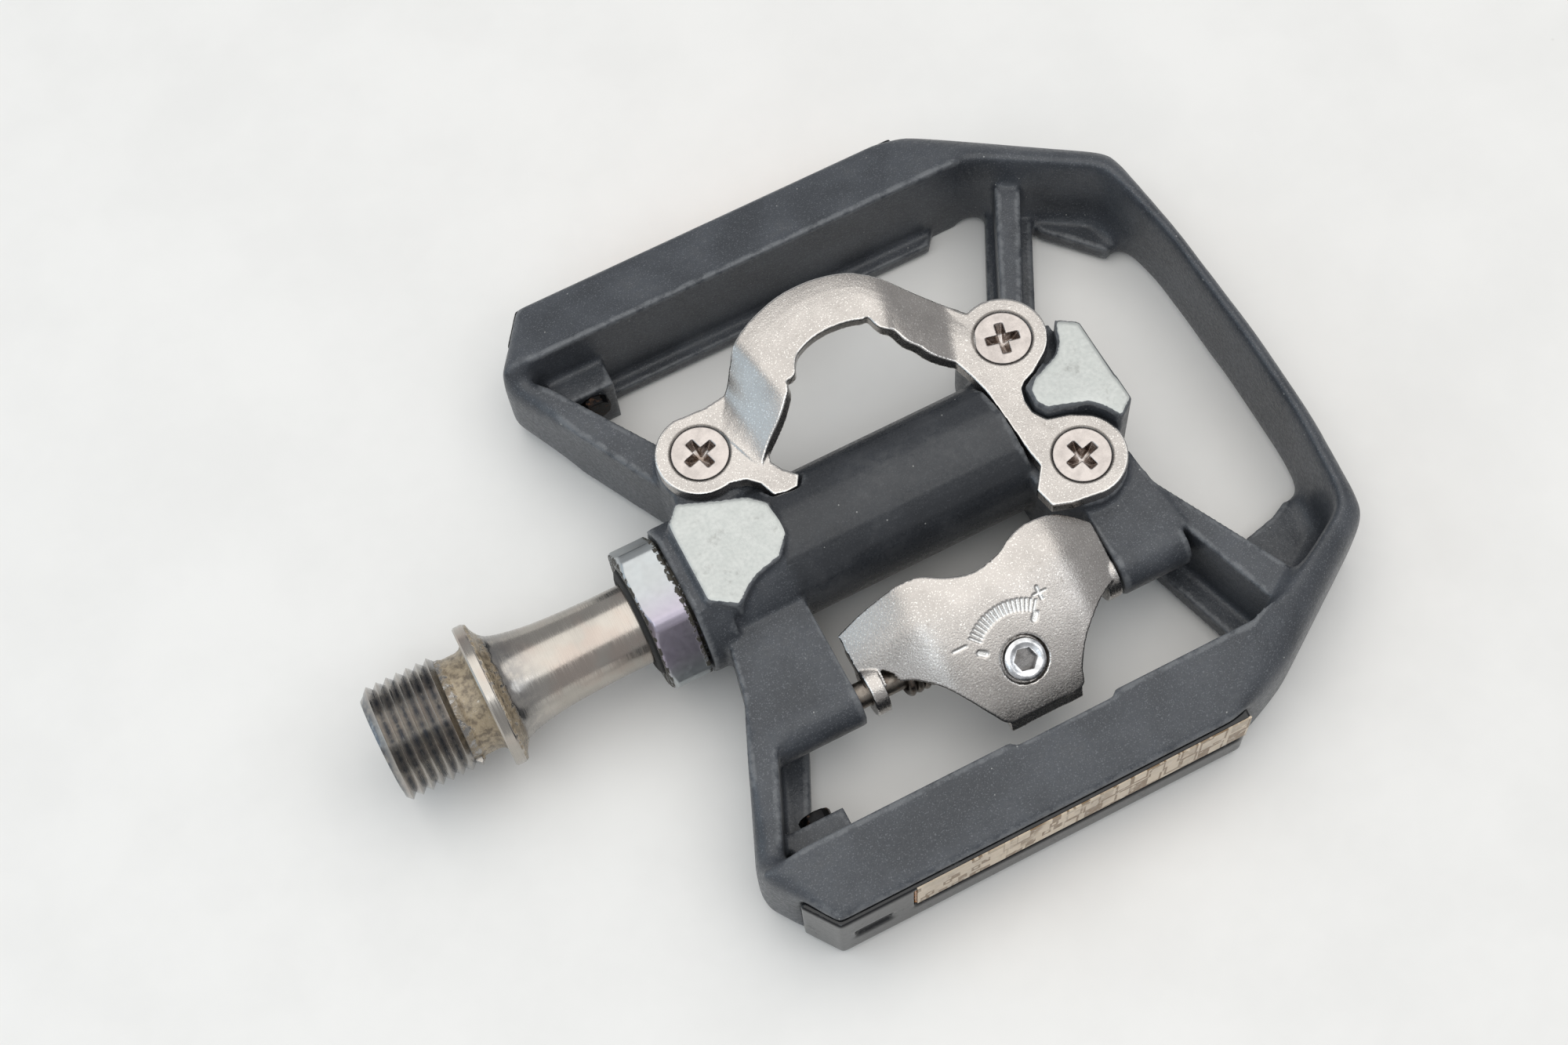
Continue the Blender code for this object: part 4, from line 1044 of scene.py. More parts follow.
@dataclass(frozen=True)
class ReflexLens(Finish):
    """Amber lens over a bed of small prisms."""

    facet: float = 1.25
    film: Colour = (0.45, 0.40, 0.33)

    def build(self) -> bpy.types.Material:
        """Build the lens.

        Returns:
            The finished material.
        """
        coat = Skin(self.name)
        cells = coat.tiles(self.facet, 0.0)
        tone = coat.mix(coat.ramp(cells, 0.1, 0.6), self.colour, scaled(self.colour, 0.5))
        film = coat.ramp(coat.noise(3.0, 3.0), 0.55, 0.8, 0.0, 0.2)
        tone = coat.mix(film, tone, self.film)
        rough = self.gloss(coat, coat.noise(0.6, 2.0), 0.0, 0.1)
        return coat.finish(tone, rough, 0.0, cells, 0.10, 0.8, Coat_Weight=0.8, Coat_Roughness=0.05)


@dataclass(frozen=True)
class PrintedStrip(Finish):
    """Cream label with abstract amber marks that spell nothing."""

    ink: Colour = (0.17, 0.085, 0.015)

    def build(self) -> bpy.types.Material:
        """Build the printed label.

        Returns:
            The finished material.
        """
        coat = Skin(self.name)
        blocks = coat.tiles(2.1, 0.55, coat.stretched((1.0, 0.0, 0.62)))
        strokes = coat.tiles(1.5, 0.8, coat.stretched((1.0, 0.0, 0.8)))
        wide = coat.noise(9.0, 1.0, coat.stretched((1.0, 0.0, 0.4)))
        frame_line = coat.times(coat.ramp(blocks, 0.36, 0.39), coat.ramp(blocks, 0.5, 0.53, 1.0, 0.0))
        dash = coat.times(coat.ramp(strokes, 0.16, 0.20), coat.ramp(strokes, 0.36, 0.40, 1.0, 0.0))
        marks = coat.most(coat.times(frame_line, coat.ramp(wide, 0.47, 0.53)),
                           coat.times(dash, coat.ramp(wide, 0.47, 0.53, 1.0, 0.0)))
        rub = coat.ramp(coat.noise(1.0, 3.0), 0.30, 0.45)
        marks = coat.times(marks, coat.times(rub, 0.9))
        dingy = coat.ramp(coat.noise(5.0, 3.0), 0.4, 0.75)
        paper = coat.mix(dingy, self.colour, scaled(self.colour, 0.72))
        tone = coat.mix(marks, paper, self.ink)
        rough = self.gloss(coat, coat.noise(0.5, 2.0), 0.1, 0.08)
        return coat.finish(tone, rough, 0.0, coat.noise(0.6, 2.0), 0.008, 1.0, Coat_Weight=0.3)


@dataclass(frozen=True)
class PaleTable(Finish):
    """Off-white table with a faint mottle and a few specks."""

    speck: Colour = (0.30, 0.27, 0.23)

    def build(self) -> bpy.types.Material:
        """Build the table's surface.

        Returns:
            The finished material.
        """
        coat = Skin(self.name)
        cloud = coat.noise(28.0, 4.0, roughness=0.6)
        fine = coat.noise(2.0, 3.0)
        tone = coat.mix(coat.ramp(cloud, 0.35, 0.7), self.colour, scaled(self.colour, 0.955))
        spot = coat.times(coat.specks(21.0, 0.03), coat.ramp(coat.noise(30.0, 1.0), 0.45, 0.55))
        tone = coat.mix(coat.times(spot, 0.5), tone, self.speck)
        rough = self.gloss(coat, fine, 0.08, 0.05)
        return coat.finish(tone, rough, 0.0, fine, 0.02, 0.6)


class Slot(Enum):
    """Material slots of the record, listed beside each new piece."""

    BODY = "body_paint"
    ALLOY = "bare_alloy"
    NICKEL = "nickel_steel"
    SPINDLE = "spindle_steel"
    BEARING = "bearing_steel"
    DARK = "dark_steel"
    SEAL = "seal_rubber"
    CARRIER = "carrier_plastic"
    LENS = "amber_lens"
    LABEL = "label_paper"


class Body(Enum):
    """Bodies of the frame that new pieces ride on."""

    PLATFORM = "platform"
    SPINDLE = "spindle_group"
    INNER_ROW = "inner_ball_row"
    OUTER_ROW = "outer_ball_row"
    JAW = "rear_jaw"
    BOLT = "tension_bolt_group"


@dataclass
class Palette:
    """Every finish, each built once."""

    paint: Finish = PowderCoat("powder_coat", (0.050, 0.055, 0.064), 0.36)
    nickel: Finish = NickelPlate("nickel_plate", (0.50, 0.47, 0.445), 0.26)
    screw: Finish = ScrewPlate("screw_plate", (0.53, 0.485, 0.46), 0.24)
    steel: Finish = TurnedSteel("turned_steel", (0.50, 0.468, 0.425), 0.20)
    collar: Finish = CollarAlloy("collar_alloy", (0.45, 0.475, 0.485), 0.34)
    hardware: Finish = OiledSteel("hardware_steel", (0.30, 0.28, 0.265), 0.30, rusty=0.6)
    bolt: Finish = OiledSteel("bolt_steel", (0.86, 0.87, 0.89), 0.20, rusty=0.12)
    black: Finish = OiledSteel("blackened_steel", (0.022, 0.022, 0.023), 0.42, rusty=0.5)
    wire: Finish = OiledSteel("spring_wire", (0.26, 0.23, 0.20), 0.32, rusty=0.6)
    race: Finish = OiledSteel("race_steel", (0.60, 0.60, 0.60), 0.13, rusty=0.0)
    seal: Finish = MouldedResin("seal_rubber", (0.016, 0.016, 0.016), 0.70, relief=0.02)
    bush: Finish = MouldedResin("bushing_resin", (0.075, 0.060, 0.045), 0.50)
    gloss: Finish = MouldedResin("carrier_gloss", (0.007, 0.0075, 0.009), 0.12, relief=0.004)
    lens: Finish = ReflexLens("amber_lens", (0.80, 0.27, 0.015), 0.12)
    print: Finish = PrintedStrip("printed_strip", (0.66, 0.54, 0.40), 0.38)
    table: Finish = PaleTable("pale_table", (0.865, 0.853, 0.83), 0.55)
    built: dict[str, bpy.types.Material] = field(default_factory=dict)

    def of(self, finish: Finish) -> bpy.types.Material:
        """Return the finish's material, built on first use.

        Args:
            finish: The finish.

        Returns:
            The material.
        """
        if finish.name not in self.built:
            self.built[finish.name] = finish.build()
        return self.built[finish.name]


@dataclass
class Dresser:
    """Puts finished pieces on their bodies and reports them."""

    palette: Palette = field(default_factory=Palette)
    pieces: int = 0

    def dress(self, piece: bpy.types.Object, finish: Finish, slot: Slot, body: Body, *nodes: str) -> None:
        """Give a piece its finish, its body and the CAD nodes that it stands for.

        Args:
            piece: The finished piece.
            finish: Its finish.
            slot: The record's slot that the finish stands for; not used.
            body: The body that it rides on.
            *nodes: CAD nodes that it replaces.
        """
        piece.data.materials.clear()
        piece.data.materials.append(self.palette.of(finish))
        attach(piece, body.value)
        if nodes:
            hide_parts(*nodes)
        self.pieces += 1
        piece.data.calc_loop_triangles()
        log.info("%s: %d triangles on %s", piece.name, len(piece.data.loop_triangles), body.value)

    def keep(self, node: str, finish: Finish) -> None:
        """Leave a CAD node showing, with a better material.

        Args:
            node: The CAD node.
            finish: Its better finish.
        """
        mesh = frame["nodes"][node].data
        material = self.palette.of(finish)
        if mesh.materials:
            mesh.materials[0] = material
        else:
            mesh.materials.append(material)
        log.info("%s: kept, with %s", node, finish.name)


# ---------------------------------------------------------------- casting
@dataclass
class Casting:
    """The cage with its barrel, struts, bosses and milled pads, its edges rounded as cast."""

    grain: Grain = Grain(0.34, 3, 190_000)
    barrel_r: float = 8.26
    barrel_x: Flat = (38.0, 72.0)
    soft_depth: Flat = (4.0, 5.5)
    soft_rounds: int = 130
    middle_y: float = 13.0
    rim_x: float = 80.0
    rail_x: Flat = (22.0, 76.0)
    rail_hold: float = 0.92

    def soften(self, piece: bpy.types.Object) -> None:
        """Round the cage's outer edges and corners more than the rest, by averaging neighbours.

        Args:
            piece: The cage, remeshed evenly.
        """
        spots = corners(piece)
        inside = hull_distance(spots[:, :2])
        near = smoothstep(self.soft_depth[1], self.soft_depth[0], inside)
        central = np.abs(spots[:, 1]) < self.middle_y
        near[central & (spots[:, 0] < self.rim_x)] = 0.0
        low, high = self.rail_x
        x = spots[:, 0]
        straight = smoothstep(low - 4.0, low + 2.0, x) * smoothstep(high + 4.0, high - 2.0, x)
        near *= 1.0 - self.rail_hold * straight
        spread = neighbours(piece)
        for _ in range(self.soft_rounds):
            spots += 0.5 * near[:, None] * pull(spots, spread)
        put_back(piece, spots)

    def mark(self, piece: bpy.types.Object) -> None:
        """Soften the outside, then store where the casting is worn and where it is the barrel.

        Args:
            piece: The piece, remeshed evenly.
        """
        self.soften(piece)
        spots = corners(piece)
        paint(piece, "wear", smoothstep(0.04, 0.20, convexity(piece, 7)))
        radius = np.hypot(spots[:, 1], spots[:, 2])
        near = smoothstep(self.barrel_r + 0.5, self.barrel_r + 0.2, radius)
        inside = (spots[:, 0] > self.barrel_x[0]) & (spots[:, 0] < self.barrel_x[1])
        paint(piece, "barrel", near * inside)

    def build(self, dresser: Dresser) -> None:
        """Round the cast shape and paint it.

        Args:
            dresser: What dresses the finished pieces.
        """
        piece = cad_copy("pedal_body", "cage_casting")
        fuse(piece, self.grain, self.mark)
        dresser.dress(piece, dresser.palette.paint, Slot.BODY, Body.PLATFORM, "pedal_body")


# ---------------------------------------------------------------- front claw
@dataclass
class FrontClaw:
    """The fixed claw: a plate with three screw rings, and an arch that takes the cleat's front lip."""

    screw_a: Flat = (35.3, 13.2)
    screw_b: Flat = (74.2, 9.7)
    screw_c: Flat = (74.9, -8.3)
    ring_r: float = 5.4
    top_z: float = 7.0
    thickness: float = 2.0
    arch_z: float = 11.4
    arch_thickness: float = 1.6
    crown: float = 0.3
    shank_r: float = 2.05
    mouth_r: float = 3.66
    head_height: float = 1.6
    bore_clear: float = 7.6
    samples: int = 150
    turns: Point = (16.0, -13.0, 14.0)
    nicks: tuple[Point, ...] = (
        (0.30, 0.012, 0.55), (0.345, 0.018, -0.35), (0.40, 0.03, 0.25), (0.66, 0.014, 0.5),
        (0.70, 0.02, -0.3), (0.75, 0.015, 0.45), (0.81, 0.02, 0.35),
    )
    grain: Grain = Grain(0.13, 3, 150_000)

    def screws(self) -> tuple[Flat, Flat, Flat]:
        """Return the three screws' places."""
        return self.screw_a, self.screw_b, self.screw_c

    def outlines(self) -> tuple[list[Flat], list[Flat]]:
        """Return the outlines of the inboard and the outboard part of the plate.

        Returns:
            The inboard and the outboard outline.
        """
        left = arc(self.screw_a, self.ring_r, 100, 285, 40)
        left += [(38.6, 7.5), (39.9, 6.2), (40.6, 4.2), (42.2, 3.8), (43.6, 3.9), (44.4, 5.2), (43.0, 6.7),
                 (42.2, 8.2), (42.8, 10.2), (41.9, 18.8), (38.4, 18.3)]
        right = arc(self.screw_b, self.ring_r, 115, -50, 36)
        right += [(75.2, 3.9), (73.7, 3.3), (72.9, 2.6), (72.5, 1.0), (72.6, -0.6), (73.6, -2.2),
                  (76.2, -2.9)]
        right += arc(self.screw_c, self.ring_r, 48, -92, 30)
        right += [(72.6, -13.4), (70.9, -13.2), (68.6, -12.4), (68.0, -9.8), (69.9, -7.2), (69.6, -5.0),
                  (69.0, 4.4), (68.4, 7.0), (67.6, 9.6), (69.4, 17.6)]
        return left, right

    def edges(self) -> tuple[np.ndarray, np.ndarray]:
        """Return the arch's inner and outer edges, with bends in height and a nicked inner edge.

        Returns:
            The inner and the outer edge, one row for each sample.
        """
        low, deep, top = self.top_z - 0.1, self.top_z - 0.3, self.arch_z
        inner = [(40.8, 8.0, low), (42.9, 10.0, 8.3), (45.4, 11.7, 10.0), (47.4, 13.6, top - 0.2),
                 (49.6, 16.0, top), (52.0, 18.0, top), (55.6, 18.6, top), (59.4, 17.8, top),
                 (61.6, 15.4, top - 0.2), (64.6, 11.6, 9.0), (67.7, 9.4, low), (69.9, 7.8, deep)]
        outer = [(38.0, 16.6, deep), (41.4, 18.9, low), (43.0, 20.6, 9.2), (44.6, 22.3, top - 0.3),
                 (47.6, 24.0, top), (52.0, 25.4, top), (56.4, 25.5, top), (60.6, 24.4, top),
                 (63.8, 22.2, top - 0.2), (66.9, 19.6, 9.0), (69.8, 17.3, low), (72.6, 14.2, deep)]
        sides = []
        for knots in (inner, outer):
            line = through(knots, self.samples)
            spots = np.linspace(0, len(knots) - 1, self.samples)
            heights = np.interp(spots, np.arange(len(knots)), [knot[2] for knot in knots])
            kernel = np.hanning(17)[1:-1]
            padded = np.pad(heights, len(kernel) // 2, mode="edge")
            line[:, 2] = np.convolve(padded, kernel / kernel.sum(), "valid")
            sides.append(line)
        inner_line, outer_line = sides
        spots = np.linspace(0, 1, self.samples)
        reach = np.zeros(self.samples)
        for centre, width, depth in self.nicks:
            reach += depth * np.exp(-((spots - centre) / width) ** 2)
        across = outer_line - inner_line
        across /= np.linalg.norm(across, axis=1)[:, None]
        return inner_line + across * reach[:, None], outer_line

    def arch(self) -> bpy.types.Object:
        """Loft the arch from its two edges.

        Returns:
            The new object.
        """
        inner, outer = self.edges()
        along = np.gradient(0.5 * (inner + outer), axis=0)
        normal = np.cross(outer - inner, along)
        normal *= -np.sign(normal[:, 2:3])
        normal /= np.linalg.norm(normal, axis=1)[:, None]
        rings = []
        for a, b, down in zip(inner, outer, normal):
            sheet = [a + (b - a) * share - down * self.crown * math.sin(math.pi * share)
                     for share in np.linspace(0, 1, 7)]
            under = [point + down * self.arch_thickness for point in reversed(sheet)]
            rings.append([tuple(point) for point in sheet + under])
        return skin("claw_arch", rings)

    def build(self, dresser: Dresser) -> None:
        """Join plate and arch, cut the screw seats, and plate the claw.

        Args:
            dresser: What dresses the finished pieces.
        """
        low, high = self.top_z - self.thickness, self.top_z
        left, right = (prism("claw_plate", outline, low, high) for outline in self.outlines())
        taper = (self.mouth_r - self.shank_r) / self.head_height
        over = 0.5
        for plate, centres in ((left, [self.screw_a]), (right, [self.screw_b, self.screw_c])):
            cutters = []
            for x, y in centres:
                cutters.append(rod("hole", (x, y, low - 1), (x, y, high + 1), self.shank_r))
                cutters.append(rod("sink", (x, y, high - self.head_height), (x, y, high + over),
                                   self.shank_r, end_radius=self.mouth_r + over * taper))
            cutters.append(rod("bore", (20, 0, 0), (68.6, 0, 0), self.bore_clear, 128))
            boolean(plate, cutters, "DIFFERENCE")
        piece = left
        piece.name = "front_claw_plate"
        merge(piece, [right, self.arch()])

        def mark(even: bpy.types.Object) -> None:
            """Store the claw's rubbed edges, and the painted shade in the gap round each screw head.

            Args:
                even: The claw, remeshed evenly.
            """
            spots = corners(even)
            gap = np.full(len(spots), 9.0)
            for x, y in self.screws():
                radius = np.hypot(spots[:, 0] - x, spots[:, 1] - y)
                gap = np.minimum(gap, np.abs(radius - self.mouth_r + 0.05))
            # A dark ring painted round each screw head's countersink: painted shade in the gap
            ring = smoothstep(0.28, 0.12, gap)
            paint(even, "wear", rubbed_edges(even) * (1 - ring))
            paint(even, "dirt", ring)

        fuse(piece, self.grain, mark)
        dresser.dress(piece, dresser.palette.nickel, Slot.NICKEL, Body.PLATFORM, "front_claw")
        for index, (centre, turn) in enumerate(zip(self.screws(), self.turns), 1):
            ClawScrew(centre, turn).build(dresser, f"claw_screw_{index}")


@dataclass
class ClawScrew:
    """A countersunk screw with a tapered cross recess."""

    centre: Flat
    turn: float
    top_z: float = 6.93
    head_r: float = 3.53
    shank_r: float = 1.95
    head_height: float = 1.5
    length: float = 8.9
    recess: float = 2.1
    depth: float = 1.9
    grain: Grain = Grain(0.09, 2, 30_000)

    def blade(self, turn: float) -> bpy.types.Object:
        """Make one tapered blade of the cross, turned by an angle in degrees.

        Args:
            turn: Its turn round the screw, in degrees.

        Returns:
            The new object.
        """
        angle = math.radians(turn)
        spin = Matrix.Rotation(angle, 3, "Z")
        rings = []
        for drop, half, wide in ((-0.5, self.recess + 0.1, 0.58), (0.0, self.recess, 0.54),
                                 (self.depth * 0.75, self.recess * 0.62, 0.36), (self.depth, 0.3, 0.2)):
            flat = ((half, wide), (-half, wide), (-half, -wide), (half, -wide))
            centre = Vector((*self.centre, self.top_z - drop))
            rings.append([centre + spin @ Vector((x, y, 0.0)) for x, y in flat])
        return skin("blade", rings)

    def mark(self, piece: bpy.types.Object) -> None:
        """Store the painted shade round the head's rim, in the gap to the countersink.

        Args:
            piece: The piece, remeshed evenly.
        """
        spots = corners(piece)
        radius = np.hypot(spots[:, 0] - self.centre[0], spots[:, 1] - self.centre[1])
        # Near-black ring at the head's rim: painted shade in the gap
        paint(piece, "dirt", smoothstep(self.head_r - 0.16, self.head_r - 0.04, radius))

    def build(self, dresser: Dresser, node: str) -> None:
        """Turn the screw, cut its recess and plate it.

        Args:
            dresser: What dresses the finished pieces.
            node: Name of the CAD node.
        """
        edge = 0.06
        profile = [(0.0, 0.0), (0.0, self.head_r - edge), (-edge, self.head_r),
                   (-self.head_height, self.shank_r), (-self.length + 0.5, self.shank_r),
                   (-self.length, self.shank_r - 0.5), (-self.length, 0.0)]
        piece = turned(f"{node}_fine", profile, (*self.centre, self.top_z), (0, 0, 1), 72)
        boolean(piece, [self.blade(self.turn), self.blade(self.turn + 90.0)], "DIFFERENCE")
        fuse(piece, self.grain, self.mark)
        dresser.dress(piece, dresser.palette.screw, Slot.NICKEL, Body.PLATFORM, node)


# ---------------------------------------------------------------- rear claw
@dataclass
class RearClaw:
    """The sprung claw: a pressed jaw with falling flanks, ears round the pin, and an engraved scale."""

    pin: Flat = (-20.4, 0.0)
    left_x: float = 39.8
    right_x: float = 72.2
    bends_x: Flat = (48.2, 66.6)
    bend_y: float = -17.0
    top_z: float = 7.0
    slope: float = 25.0
    fall: float = 0.42
    soft: float = 1.5
    crown_x: float = 0.002
    crown_y: float = 0.011
    middle_y: float = -21.5
    wall: float = 2.2
    seat: Point = (57.4, -26.2, 2.71)
    ear_r: float = 3.1
    ear_width: float = 1.8
    pin_clear: float = 1.68
    spring_room: float = 2.95
    bolt_clear: float = 2.05
    sink_r: float = 2.9
    ticks: int = 18
    tick_span: Flat = (54.0, 134.0)
    tick_r: Flat = (5.6, 6.9)
    engraving: float = 0.15
    columns: int = 110
    rows: int = 44
    grain: Grain = Grain(0.13, 3, 150_000)

    def axis(self) -> Vector:
        """Return the direction out of the sloping face, along the tension bolt."""
        angle = math.radians(self.slope)
        return Vector((0.0, -math.sin(angle), math.cos(angle)))

    def height(self, x: np.ndarray, y: np.ndarray) -> np.ndarray:
        """Work out the height of the upper face, with its bends softened.

        Args:
            x: Places along the axle.
            y: Places across it.

        Returns:
            The heights.
        """
        def ramp(past: np.ndarray, width: float) -> np.ndarray:
            """Grow from 0 with a soft start."""
            return 0.5 * (past + np.sqrt(past**2 + width**2)) - 0.12 * width

        slope = math.tan(math.radians(self.slope))
        z = self.top_z - slope * ramp(self.bend_y - y, self.soft)
        z -= self.crown_x * (x - self.seat[0]) ** 2
        reach = (self.bend_y - self.middle_y) ** 2
        z += np.where(y < self.bend_y, self.crown_y * (reach - (y - self.middle_y) ** 2), 0.0)
        z -= self.fall * ramp(self.bends_x[0] - x, self.soft)
        return z - self.fall * ramp(x - self.bends_x[1], self.soft)

    def jaw(self) -> bpy.types.Object:
        """Build the pressed face with its wall below it.

        Returns:
            The new object.
        """
        front = through([(39.6, -13.6), (42.6, -13.0), (45.6, -12.7), (48.2, -12.6), (50.7, -13.0),
                         (53.2, -14.4), (55.8, -15.3), (58.3, -15.2), (60.3, -14.6), (62.4, -13.4),
                         (64.8, -12.8), (68.0, -12.9), (70.4, -13.9), (72.2, -15.2)], self.columns)
        rear = through([(39.6, -21.6), (42.2, -21.6), (44.6, -22.5), (47.2, -24.7), (49.4, -27.4),
                        (51.3, -29.9), (53.0, -31.4), (57.6, -31.4), (62.2, -31.4), (63.4, -29.5),
                        (65.2, -27.0), (68.4, -24.2), (70.6, -22.8), (72.2, -22.0)], self.columns)
        top, under = [], []
        for share in np.linspace(0, 1, self.rows):
            line = front + (rear - front) * share
            z = self.height(line[:, 0], line[:, 1])
            step = 0.01
            dx = (self.height(line[:, 0] + step, line[:, 1]) - z) / step
            dy = (self.height(line[:, 0], line[:, 1] + step) - z) / step
            normal = np.stack([-dx, -dy, np.ones_like(z)], axis=1)
            normal /= np.linalg.norm(normal, axis=1)[:, None]
            face = np.column_stack([line, z])
            top.append(face)
            under.append(face - normal * self.wall)
        return slab("jaw_face", top, under)

    def tail(self) -> bpy.types.Object:
        """Build the lip that is turned down at the rear edge.

        Returns:
            The new object.
        """
        back = [(52.9, -31.4), (57.6, -31.4), (62.3, -31.4)]
        rings = []
        for x, y in back:
            z = float(self.height(np.array(x), np.array(y)))
            rings.append([(x, y, z), (x, y - 0.45, z - 2.0), (x, y + 1.2, z - 2.1), (x, y + 1.7, z - 0.6)])
        return skin("jaw_tail", rings)

    def ears(self) -> list[bpy.types.Object]:
        """Build the two ears that hold the pin, each with a neck up to the face.

        Returns:
            The new objects.
        """
        made = []
        y, z = self.pin
        for start in (self.left_x, self.right_x - self.ear_width):
            end = start + self.ear_width
            ear = rod("ear", (start, y, z), (end, y, z), self.ear_r)
            low, high = (start, y + 0.6, z), (end, y + 5.6, z + 2.4)
            rings = [[(x, low[1], low[2]), (x, high[1], low[2]), (x, high[1], high[2]), (x, low[1], high[2])]
                     for x in (low[0], high[0])]
            boolean(ear, [rod("pin_hole", (start - 1, y, z), (end + 1, y, z), self.pin_clear)], "DIFFERENCE")
            made += [ear, skin("ear_neck", rings)]
        return made

    def strokes(self) -> list[tuple[Flat, Flat, float]]:
        """Lay out the scale on the sloping face, in its own plane round the bolt.

        Returns:
            Each stroke's two ends and its half width.
        """
        def spot(radius: float, degrees: float) -> Flat:
            """Turn a radius and an angle into a place on the face."""
            angle = math.radians(degrees)
            return radius * math.cos(angle), radius * math.sin(angle)

        made = []
        for degrees in np.linspace(*self.tick_span, self.ticks):
            made.append((spot(self.tick_r[0], degrees), spot(self.tick_r[1], degrees), 0.13))
        for degrees in (self.tick_span[0] - 3, self.tick_span[1] + 13):
            made.append((spot(4.7, degrees), spot(5.4, degrees), 0.32))
        half = 0.75
        for degrees, crossed in ((self.tick_span[1] + 12, False), (self.tick_span[0] - 2, True)):
            x, y = spot(7.8, degrees)
            made.append(((x - half, y), (x + half, y), 0.13))
            if crossed:
                made.append(((x, y - half), (x, y + half), 0.13))
        return made

    def engrave(self, piece: bpy.types.Object) -> None:
        """Press the scale into the even mesh, and store the marks and the rubbed edges.

        Args:
            piece: The claw, remeshed evenly.
        """
        spots = corners(piece)
        axis = np.array(self.axis())
        across = np.array((0.0, axis[2], -axis[1]))
        offset = spots - np.array(self.seat)
        flat = np.column_stack([offset[:, 0], offset @ across])
        near = np.abs(offset @ axis) < 1.0
        depth = np.zeros(len(spots))
        for start, end, half in self.strokes():
            a, b = np.array(start), np.array(end)
            share = np.clip(((flat - a) @ (b - a)) / ((b - a) @ (b - a)), 0, 1)
            distance = np.linalg.norm(flat - a - share[:, None] * (b - a), axis=1)
            depth = np.maximum(depth, smoothstep(half + 0.12, half - 0.04, distance))
        depth *= near
        wear = rubbed_edges(piece)
        moved = spots - depth[:, None] * axis * self.engraving
        put_back(piece, moved)
        paint(piece, "wear", wear)
        paint(piece, "mark", depth)

    def build(self, dresser: Dresser) -> None:
        """Cut and fuse the claw, engrave its scale and plate it.

        Args:
            dresser: What dresses the finished pieces.
        """
        y, z = self.pin
        seat, axis = Vector(self.seat), self.axis()
        piece = self.jaw()
        piece.name = "rear_claw_jaw"
        even_out(piece, self.grain.voxel)
        bake(piece)
        inner = self.left_x + self.ear_width, self.right_x - self.ear_width
        boolean(piece, [
            rod("spring_room", (inner[0] + 0.4, y, z), (inner[1] - 0.4, y, z), self.spring_room),
            rod("bolt_hole", seat - axis * 5, seat + axis * 2, self.bolt_clear),
            rod("bolt_sink", seat - axis * 0.96, seat + axis * 3, self.sink_r),
        ], "DIFFERENCE")
        merge(piece, [self.tail(), *self.ears()])
        fuse(piece, self.grain, self.engrave)
        dresser.dress(piece, dresser.palette.nickel, Slot.NICKEL, Body.JAW, "rear_claw")


# ---------------------------------------------------------------- repeats and paths
class Growth(Tree):
    """A Geometry Nodes tree that grows a repeat or a path and ends as a plain mesh."""

    KINDS = {int: "NodeSocketInt", float: "NodeSocketFloat", tuple: "NodeSocketVector"}

    def __init__(self, name: str, **sizes: int | float | Point) -> None:
        """Start a tree with one named input for each size.

        Args:
            name: Name of the tree and of the piece.
            **sizes: The inputs' values.
        """
        super().__init__(bpy.data.node_groups.new(name, "GeometryNodeTree"))
        self.name = name
        self.sizes = sizes
        face = self.tree.interface
        face.new_socket("Geometry", in_out="OUTPUT", socket_type="NodeSocketGeometry")
        face.new_socket("Finish", in_out="INPUT", socket_type="NodeSocketMaterial")
        for key, value in sizes.items():
            face.new_socket(key, in_out="INPUT", socket_type=self.KINDS[type(value)])
        self.given = self.add("NodeGroupInput").outputs

    def close(self, shape: bpy.types.NodeSocket, material: bpy.types.Material) -> bpy.types.Object:
        """Place the grown shape, end the tree, and turn its result into a plain mesh.

        Args:
            shape: The grown shape, along z from the origin.
            material: The finish it is grown with.

        Returns:
            The new object.
        """
        laid = {"Geometry": shape, "Translation": self.given["At"], "Rotation": self.given["Turn"]}
        shape = self.add("GeometryNodeTransform", laid).outputs[0]
        shape = self.add("GeometryNodeRealizeInstances", {0: shape}).outputs[0]
        last = {"Geometry": shape, "Material": self.given["Finish"]}
        shape = self.add("GeometryNodeSetMaterial", last).outputs[0]
        self.add("NodeGroupOutput", {0: shape})
        piece = link(self.name, bpy.data.meshes.new(self.name))
        grow = piece.modifiers.new("grow", "NODES")
        grow.node_group = self.tree
        values = dict(self.sizes, Finish=material)
        for item in self.tree.interface.items_tree:
            if item.in_out == "INPUT":
                grow[item.identifier] = values[item.name]
        bake(piece)
        return piece


